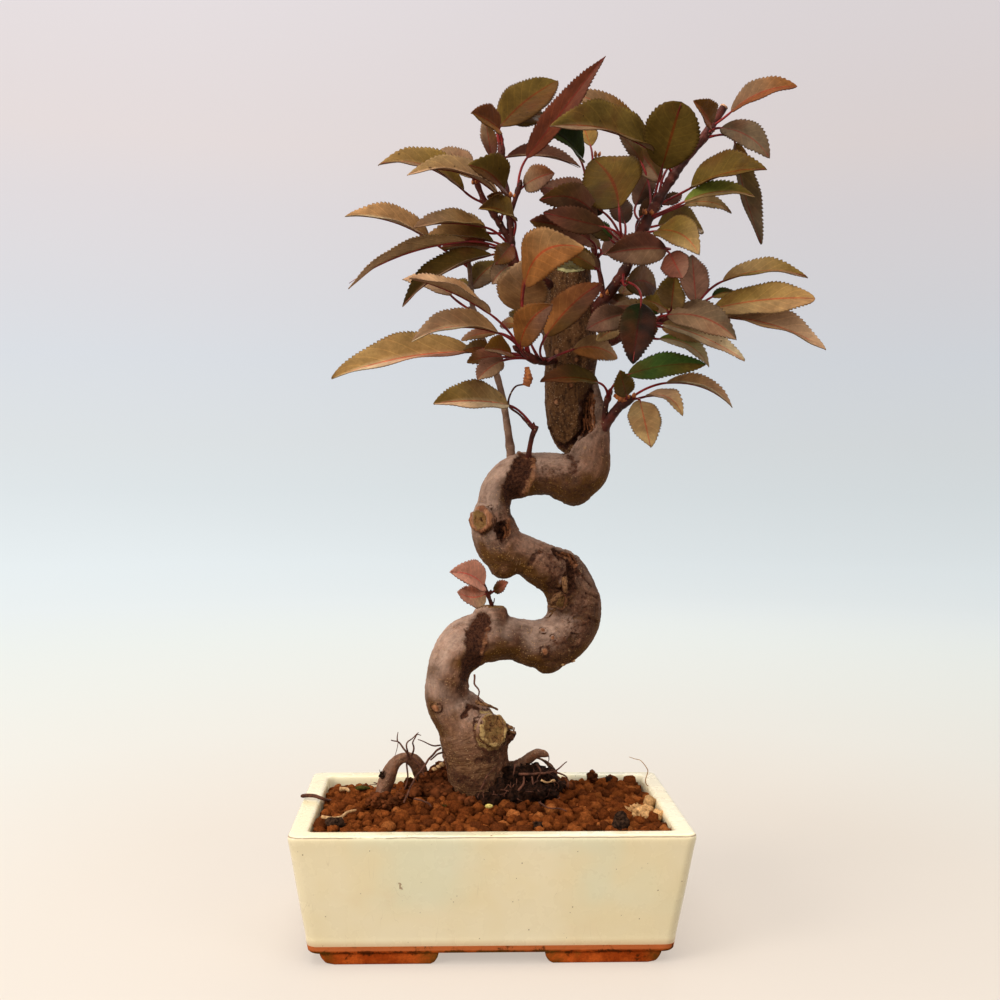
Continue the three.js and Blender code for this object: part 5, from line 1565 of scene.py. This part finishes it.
for px, py, depth, wide, high in clod_rows:
    for _ in range(7):
        way = Vector((chance.gauss(0, 1), -abs(chance.gauss(0, 1)), chance.gauss(0, 0.8))).normalized()
        start = seen(px, py, depth) + Vector((way.x * wide, way.y * wide * 0.8, way.z * high)) * 1.04
        drift = way.cross(any_way(chance)).normalized() * chance.uniform(0.8, 1.8)
        points = [start, start + drift + way * 0.9, start + 2 * drift + way * 0.7, start + 3 * drift]
        fine_tube(strands, points, 0.28, 0.12, 5)
solid_piece("clod_strands", strands, root_skin, "bark", "trunk")

# Crumbs caked together beside the trunk and over the arched root's end
caked = bmesh.new()
caked_rows = [
    (426, 782, -2, 3.6), (431, 776, 0, 3.4), (437, 770, 1, 3.6), (442, 767, 2, 3.4), (446, 776, 0, 3.8),
    (438, 781, -2, 4.4), (447, 788, -4, 4), (430, 790, -5, 4.4), (419, 788, -4, 3.6), (440, 793, -7, 4.4),
    (410, 784, 0, 3), (414, 793, -8, 3.6), (562, 783, 2, 3), (570, 786, 2, 2.6), (424, 777, -6, 2.6),
    (377, 802, -15, 2.6), (385, 805, -15, 3), (393, 802, -14, 2.6), (370, 801, -12, 2.3),
    (400, 797, -12, 2.6), (472, 803, -16, 4), (459, 800, -13, 4.2), (448, 793, -8, 4), (592, 776, 43, 2.9),
]
caked_places = [(seen(px, py, depth), size) for px, py, depth, size in caked_rows]
for pixel in ((377, 793), (382, 795), (387, 794)):
    caked_places.append((Vector(wood.hit(*pixel)[0]) + Vector((0, -0.8, -1.6)), 2.9))
for middle, size in caked_places:
    lump(caked, middle, (size, size * 0.8, size * 0.85), chance, 0.3, 2)
    for _ in range(12):
        way = any_way(chance).normalized()
        grain = chance.uniform(0.7, 1.6)
        lump(caked, middle + way * size * 0.85, (grain, grain, grain * 0.8), chance, 0.35, 1)
solid_piece("caked_soil", caked, damp_soil, "soil", "soil")

# Rootlets: the radius at both ends, then px, py and depth of each bend
rootlet_rows = [
    (0.55, 0.45, (441, 748, -9), (434.5, 753, -11), (428.7, 759.7, -13), (422.8, 767.7, -15),
     (417, 776.5, -17), (412.5, 782.4, -18), (409, 789.7, -20), (404, 803, -24)),
    (0.5, 0.35, (444, 751, -8), (436, 755.3, -11), (431, 759.7, -13)),
    (0.42, 0.2, (440, 745.4, -8), (433, 745.4, -11), (427.2, 743, -12), (421.3, 740.6, -12),
     (417.7, 739.6, -12)),
    (0.6, 0.25, (411, 759, -11), (406, 751, -13), (400.8, 745, -13), (397.1, 741.3, -13),
     (390.5, 740.2, -13)),
    (0.35, 0.18, (397.1, 741.3, -13), (397.4, 735.5, -13), (397.9, 731.5, -13)),
    (0.45, 0.2, (407.4, 752, -12), (407.4, 743.5, -12), (412.5, 737.7, -12), (419.1, 732.5, -12)),
    (0.5, 0.18, (411.8, 756, -10), (413.6, 747.2, -12), (413, 741.3, -12), (417.7, 734.7, -12),
     (421.5, 736, -12)),
    (0.5, 0.35, (407.4, 754.5, -12), (406.7, 763.3, -13), (407.8, 777, -13), (405, 790, -14)),
    (0.55, 0.4, (408.5, 754, -11), (416.9, 761.9, -10.5), (421.5, 768, -10), (424, 776, -10)),
    (0.2, 0.12, (397.9, 742.8, -13), (397.1, 748.7, -13), (394.5, 757, -13)),
    (0.5, 0.35, (414, 798.6, -22), (421.3, 800, -23), (428.7, 803.7, -25), (432, 807, -26)),
    (0.75, 0.22, (519, 774, -13), (531.4, 774.3, -14), (543, 773.3, -13), (553.4, 771.4, -12),
     (560.7, 766.3, -11), (567.3, 761.5, -10)),
    (0.5, 0.25, (553.4, 771.4, -12), (562, 774.3, -11), (567.3, 779.5, -11), (569, 787, -12)),
    (0.45, 0.25, (531.4, 777, -14), (534.3, 785.4, -17), (541, 792.5, -19)),
    (0.45, 0.25, (536, 764, -7), (541, 772, -10), (537, 780, -13), (542, 786, -15)),
    (0.55, 0.3, (516.7, 760.4, -8), (514.5, 767.7, -11), (513, 776, -13)),
    (0.65, 0.4, (519, 791, -20), (523.3, 783.9, -18), (524, 777, -16)),
    (0.3, 0.15, (548.2, 755, -6), (549.2, 759, -6), (548, 763.5, -6)),
    (0.45, 0.3, (538.7, 802, -26), (546, 806.6, -28), (560.7, 809.6, -28), (567, 812, -28)),
    (0.4, 0.2, (480, 790, -22), (489, 774, -21), (496, 766, -20)),
    (0.5, 0.25, (474.5, 675.5, -16), (475, 684, -19), (479, 690, -20), (478, 697, -20), (482, 703, -19)),
    (0.35, 0.2, (491.5, 607, -6), (494, 602, -8), (495, 599, -9)),
]
rootlets = bmesh.new()
for thick, thin, *rows in rootlet_rows:
    fine_tube(rootlets, along_pixels(rows), thick, thin, wriggle=0.5)
chance = random.Random(23)
for _ in range(34):
    px = chance.choice((chance.uniform(376, 432), chance.uniform(500, 562)))
    start = on_soil(px, chance.uniform(780, 798), 1.4)
    turn = chance.uniform(0, 6.28)
    strand = [start]
    for _ in range(5):
        turn += chance.uniform(-0.9, 0.9)
        flat = strand[-1] + Vector((math.cos(turn), math.sin(turn), 0)) * chance.uniform(1.6, 3.6)
        strand.append(Vector((flat.x, flat.y, soil_height(flat.x, flat.y) + chance.uniform(0.7, 3.0))))
    fine_tube(rootlets, strand, 0.34, 0.14, 6, 0.6)
solid_piece("rootlets", rootlets, root_skin, "bark", "trunk")

# Pale roots and the hair root at the right, lying on the crumbs
pale = bmesh.new()
curly = [(653, 790, 30), (646, 783, 30), (648, 770, 30), (641, 761, 30), (629, 757.5, 30)]
fine_tube(pale, along_pixels(curly), 0.34, 0.14, wriggle=0.5)
for pixels, thick in ((((322, 817), (333, 818.5), (341, 817), (348, 812), (356, 810)), 0.9),
                      (((341, 817), (343, 820)), 0.5), (((340, 789), (346, 789), (349, 791)), 1.2)):
    fine_tube(pale, [on_soil(px, py, 4.4) for px, py in pixels], thick, 0.6 * thick)
for size, *row in ((1.3, 442, 764.5, -5), (1, 439, 766.5, -6), (1.2, 434.5, 769, -6), (1, 553, 781, -10)):
    lump(pale, seen(*row), (size * 1.2, size, size * 0.8), chance, 0.4, 2)
for size, *pixel in (
    (1.3, 572.5, 660), (1.0, 562.5, 664), (1.1, 545, 651.5), (0.7, 543.5, 631), (0.6, 553, 638),
):
    lump(pale, Vector(wood.hit(*pixel)[0]), (size, 0.8 * size, size), chance, 0.3, 2)
fine_tube(pale, along_pixels([(541, 780, -14), (547, 782.5, -14), (553, 780.5, -13)]), 0.55, 0.3)
solid_piece("pale_roots", pale, pale_fibre, "bark", "trunk")
tip_root = bmesh.new()
over_rim = [on_level(*row) for row in (
    (339, 799.5, 57), (331, 801, 58), (323, 798.8, 60.8), (314, 795.6, 62), (305, 796, 61.4),
)]
fine_tube(tip_root, over_rim, 0.6, 1.05, 8, 0.3)
lump(tip_root, on_level(303.2, 796, 61.2), (1.3, 1.0, 1.0), chance, 0.2, 2)
solid_piece("root_over_rim", tip_root, root_skin, "bark", "trunk")

splinters = bmesh.new()
splinter_rows = [
    ([(504, 725, -12), (509, 727, -14), (513, 728.5, -14)], 1.5, 0.7),
    ([(506, 731, -12), (511, 731.5, -14), (516, 734, -14)], 1.1, 0.2),
    ([(508, 734, -11), (513, 732, -13), (514.5, 727.5, -13)], 0.7, 0.3),
    ([(477, 702, -14), (484, 704.5, -17), (491, 706.5, -17), (497.5, 709.5, -14)], 1.1, 0.5),
    ([(564.5, 578, -13), (565, 585, -15), (566, 593, -14)], 1.5, 1.2),
    ([(552, 603, -10), (556, 598, -13), (562, 593, -14)], 1.6, 1.3),
    ([(557, 606, -11), (552, 607, -11), (547.5, 606, -10)], 0.8, 0.15),
    ([(556, 609, -9), (550, 612, -9), (546.5, 615.5, -8)], 0.7, 0.15),
    ([(553, 612, -9), (549, 617, -8), (545, 618, -7)], 0.5, 0.12),
]
for rows, thick, thin in splinter_rows:
    roughen(fine_tube(splinters, along_pixels(rows), thick, thin), 1.0, 0.35)
solid_piece("torn_splinters", splinters, torn_wood, "bark", "trunk")
fibres = bmesh.new()
fibre_rows = [
    [(590, 398), (589, 410), (591, 423)], [(587, 402), (586, 416), (588, 430)],
    [(584, 418), (585, 428), (581, 436)], [(594, 400), (594, 414), (595, 428)],
    [(588, 420), (592, 430), (590, 440)], [(567, 549), (572, 556), (577, 567)],
    [(564, 548), (569, 556), (572, 566)], [(503, 527), (506, 532), (504, 539)],
    [(507, 524), (508, 531), (507, 537)],
]
for rows in fibre_rows:
    points = [Vector(wood.hit(*pixel)[0]) - forward * 0.2 for pixel in rows]
    roughen(fine_tube(fibres, points, 0.9, 0.3), 0.9, 0.3)
solid_piece("rusty_fibres", fibres, rusty_wood, "bark", "trunk")

coals = bmesh.new()
coal_rows = [
    (on_soil(621, 825, 2.6), 3.4, 6), (on_soil(336, 824, 3.4), 4.2, 3), (on_soil(538, 826, 2.8), 2.4, 1.9),
    (seen(609, 780, 44), 2.0, 2.2), (Vector(wood.hit(389, 775.5)[0]) - picture_right * 3.4, 1.3, 1.3),
]
for middle, wide, tall in coal_rows:
    lump(coals, middle, (wide, wide * 0.8, tall), chance, 0.5, 3)
    for k in range(9):
        way = Vector((chance.gauss(0, 1), chance.gauss(0, 1), abs(chance.gauss(0, 1)))).normalized()
        start = middle + Vector((way.x * wide, way.y * wide * 0.8, way.z * tall)) * 0.7
        fine_tube(coals, [start, start + way * 0.8, start + way * chance.uniform(1.4, 2.2)], 0.5, 0.08, 5)
solid_piece("charcoal_bits", coals, charcoal, "soil", "soil")
seeds = bmesh.new()
lump(seeds, on_soil(489, 806, 4.4), (1.9, 1.1, 1.1), chance, 0.15, 2)
lump(seeds, on_soil(577, 801, 1.4), (1.0, 1.3, 0.7), chance, 0.2, 2)
piece("fallen_seeds", mesh_of(seeds), [yellow_husk], "soil", "soil")


def tuft(bm, point, normal, chance, height, spread):
    """A tuft of moss: short pointed blades"""
    for _ in range(7):
        way = (normal + Vector([chance.uniform(-spread, spread) for _ in range(3)])).normalized()
        turn = way.to_track_quat("Z", "Y").to_matrix().to_4x4()
        tall = height * chance.uniform(0.6, 1.2)
        place = Matrix.Translation(point + way * tall * 0.4) @ turn
        bmesh.ops.create_cone(
            bm, cap_ends=True, segments=4, radius1=height * 0.16, radius2=0.02, depth=tall, matrix=place
        )


moss = bmesh.new()
lump(moss, on_soil(362.5, 788, 3.4), (3.5, 1.8, 1.2), random.Random(4), 0.3, 3)
moss_rows = [(362, 787, 1.6, 5), (447, 807, 1.1, 5)]
for px, py, height, count in moss_rows:
    middle = on_soil(px, py, 2.6)
    for _ in range(count):
        point = middle + Vector((chance.gauss(0, 1.4), chance.gauss(0, 1.2), chance.uniform(-0.2, 0.6)))
        tuft(moss, point, Vector((0, 0, 1)), chance, height, 0.9)
for _ in range(16):
    flat = Vector((chance.gauss(0, 4.4), chance.gauss(0, 4.4), 0))
    level_point = cut_middle + picture_right * flat.x + cut_normal.cross(picture_right) * flat.y
    surface, normal, _, _ = wood_tree.find_nearest(level_point)
    tuft(moss, surface, cut_normal, chance, 0.5, 0.8)
solid_piece("moss_tufts", moss, green_moss, "bark", "trunk")

# Dried buds and bud scales, and the sawn end of the thick red branch
husks = bmesh.new()
for stem, rows in buds:
    path, radii = limb_path(rows, 0.5)
    radii = [r * (1 + 0.12 * math.sin(k * 1.9)) for k, r in enumerate(radii)]
    roughen(tube(husks, path, radii, 12), 1.2, 0.25)
scale_rows = [
    (513, 198, -13, 2.0, 5), (648, 215, -14, 3.1, 6), (631, 399, -14, 2.4, 6), (606, 297, -5, 3.4, 4),
    (519, 350, -19, 1.9, 5), (511, 262, -13, 2.5, 4), (476, 184, -18, 1.9, 4), (597, 157, -4, 1.4, 3),
]
for px, py, depth, reach, count in scale_rows:
    middle = seen(px, py, depth)
    for k in range(count):
        angle = 2 * math.pi * k / count + chance.uniform(-0.3, 0.3)
        way = Vector((math.cos(angle), math.sin(angle) * 0.8, chance.uniform(-0.2, 0.5))).normalized()
        start = middle + way * reach * 0.55
        path = [start.lerp(start + way * 0.9 + Vector((0, 0, 2.2)), j / 5) for j in range(6)]
        tube(husks, path, [0.5, 0.75, 0.85, 0.7, 0.45, 0.08], 6)
solid_piece("dry_bud_scales", husks, dry_husk, "leaves", "forked_spur")

ends = bmesh.new()
path, radii = stem_paths["right_branch"]
along = (path[-1] - path[-3]).normalized()
cap = [path[-1] + along * lift for lift in (-0.8, 0.25, 0.5, 0.55)]
roughen(tube(ends, cap, [1.8, 2.0, 1.6, 0.5], 16), 1.0, 0.2)
lump(ends, path[-18] + picture_right * 1.8, (1.2, 1.1, 1.2), chance, 0.2, 2)
solid_piece("sawn_twig_end", ends, cut_wood, "bark", "right_branch")


# Studio: a pale glowing sweep with painted light, soft lights and the picture's camera
def stage_finish():
    """A pale sweep that glows; its tone, painted light of the studio, changes with the way along it, from the
    floor's middle up the wall, and is painted dimmer towards the right
    """
    finish = Finish("pale_backdrop", Specular_IOR_Level=0.0, Emission_Strength=0.6)
    x, y, height = finish.split(finish.place)
    flat = finish.field("CombineXYZ", {0: x, 1: y})
    radius = finish.field("VectorMath", {0: flat}, "Value", operation="LENGTH")
    tones = finish.add("ValToRGB", {0: (radius + height) / SWEEP_REACH})
    stops = tones.color_ramp.elements
    stops[0].color = (*backdrop_light_tones[0][1], 1)
    stops[1].color = (*backdrop_light_tones[-1][1], 1)
    for place, tone in backdrop_light_tones[1:-1]:
        stops.new(place / SWEEP_REACH).color = (*tone, 1)
    # Painted shade: the sweep is dimmer towards the right
    tone = finish.dimmed(Field(finish, tones.outputs[0]), x.fade(-1.2, 1.2, 1.0, 0.87))
    # Painted light: the sweep glows with its own tone, though it is no lamp
    finish.feed(finish.shader.inputs["Emission Color"], tone)
    finish.colour = finish.mix(1.0, tone, (0.36, 0.36, 0.36, 1), "MULTIPLY")
    return finish.done(1.0)


SWEEP_REACH = 4.0
# The sweep's tones by the way along it: painted light, for the studio's light falling off
backdrop_light_tones = [
    (0.0, (0.86, 0.75, 0.65)), (0.25, (0.86, 0.775, 0.68)), (0.5, (0.87, 0.84, 0.77)),
    (0.75, (0.875, 0.88, 0.825)), (1.1, (0.885, 0.92, 0.885)), (1.5, (0.905, 0.955, 0.955)),
    (1.85, (0.88, 0.945, 0.965)), (2.26, (0.82, 0.88, 0.905)), (2.5, (0.815, 0.86, 0.885)),
    (2.87, (0.81, 0.85, 0.905)), (3.1, (0.84, 0.845, 0.89)), (3.42, (0.9, 0.86, 0.89)),
    (3.6, (0.96, 0.885, 0.89)), (3.87, (0.985, 0.93, 0.965)),
]
FLOOR_RADIUS = 1.5
SWEEP = 1.1
bowl = bmesh.new()
profile = [bowl.verts.new((0.02, 0, 0)), bowl.verts.new((FLOOR_RADIUS, 0, 0))]
for k in range(1, 15):
    angle = math.pi / 2 * k / 14
    x = FLOOR_RADIUS + SWEEP * math.sin(angle)
    profile.append(bowl.verts.new((x, 0, SWEEP * (1 - math.cos(angle)))))
profile.append(bowl.verts.new((FLOOR_RADIUS + SWEEP, 0, 2.6)))
edges = [bowl.edges.new(pair) for pair in zip(profile, profile[1:])]
bmesh.ops.spin(
    bowl, geom=profile + edges, cent=(0, 0, 0), axis=(0, 0, 1), angle=2 * math.pi, steps=96, use_merge=True
)
bmesh.ops.holes_fill(bowl, edges=[e for e in bowl.edges if e.is_boundary and e.verts[0].co.z < 0.1], sides=0)
bowl.normal_update()
sweep_mesh = mesh_of(bowl)
sweep_mesh.flip_normals()
sweep_mesh.materials.append(stage_finish())
sweep = bpy.data.objects.new("studio_sweep", sweep_mesh)
sweep.visible_shadow = False
sweep.visible_diffuse = False
bpy.context.scene.collection.objects.link(sweep)


def soft_light(name, place, target, size, power, tint=(1, 1, 1)):
    lamp = bpy.data.lights.new(name, "AREA")
    lamp.shape = "DISK"
    lamp.size = size
    lamp.energy = power
    lamp.color = tint
    thing = bpy.data.objects.new(name, lamp)
    thing.location = place
    thing.rotation_euler = (Vector(target) - Vector(place)).to_track_quat("-Z", "Y").to_euler()
    bpy.context.scene.collection.objects.link(thing)


warm = (1.0, 0.95, 0.89)
soft_light("overhead", (-0.25, -0.3, 1.35), (0, 0, 0.2), 0.9, 9.5, warm)
soft_light("front_left", (-1.35, -0.95, 0.8), (0, 0, 0.15), 0.9, 22, warm)
soft_light("front_right", (1.0, -1.1, 0.7), (0, 0, 0.15), 0.9, 6, warm)
soft_light("rear", (0.3, 1.2, 1.0), (0, 0, 0.2), 0.9, 4, warm)

world = bpy.data.worlds.new("studio")
world.use_nodes = True
sky = world.node_tree
upward = sky.nodes.new("ShaderNodeTexCoord").outputs["Generated"]
rise = sky.nodes.new("ShaderNodeSeparateXYZ")
sky.links.new(upward, rise.inputs[0])
glow = sky.nodes.new("ShaderNodeMapRange")
sky.links.new(rise.outputs["Z"], glow.inputs[0])
for socket, value in ((1, -0.6), (2, 0.8), (3, 0.2), (4, 0.78)):
    glow.inputs[socket].default_value = value
sky.links.new(glow.outputs[0], sky.nodes["Background"].inputs["Strength"])
tint = sky.nodes.new("ShaderNodeValToRGB")
tint.color_ramp.elements[0].position = 0.3
tint.color_ramp.elements[0].color = (1.0, 0.84, 0.68, 1)
tint.color_ramp.elements[1].position = 0.65
tint.color_ramp.elements[1].color = (0.97, 0.98, 1.0, 1)
sky.links.new(glow.outputs[0], tint.inputs[0])
sky.links.new(tint.outputs[0], sky.nodes["Background"].inputs["Color"])
bpy.context.scene.world = world
bpy.context.scene.view_settings.view_transform = "Standard"

camera_data = bpy.data.cameras.new("picture_camera")
camera_data.sensor_width = SENSOR
camera_data.lens = FOCAL_PIXELS / PICTURE * SENSOR
camera_data.clip_start = 0.01
camera = bpy.data.objects.new("picture_camera", camera_data)
camera.matrix_world = Matrix.Translation(row_place @ eye) @ Matrix(
    (picture_right, picture_up, -forward)
).transposed().to_4x4()
bpy.context.scene.collection.objects.link(camera)
bpy.context.scene.camera = camera

bpy.context.view_layer.update()
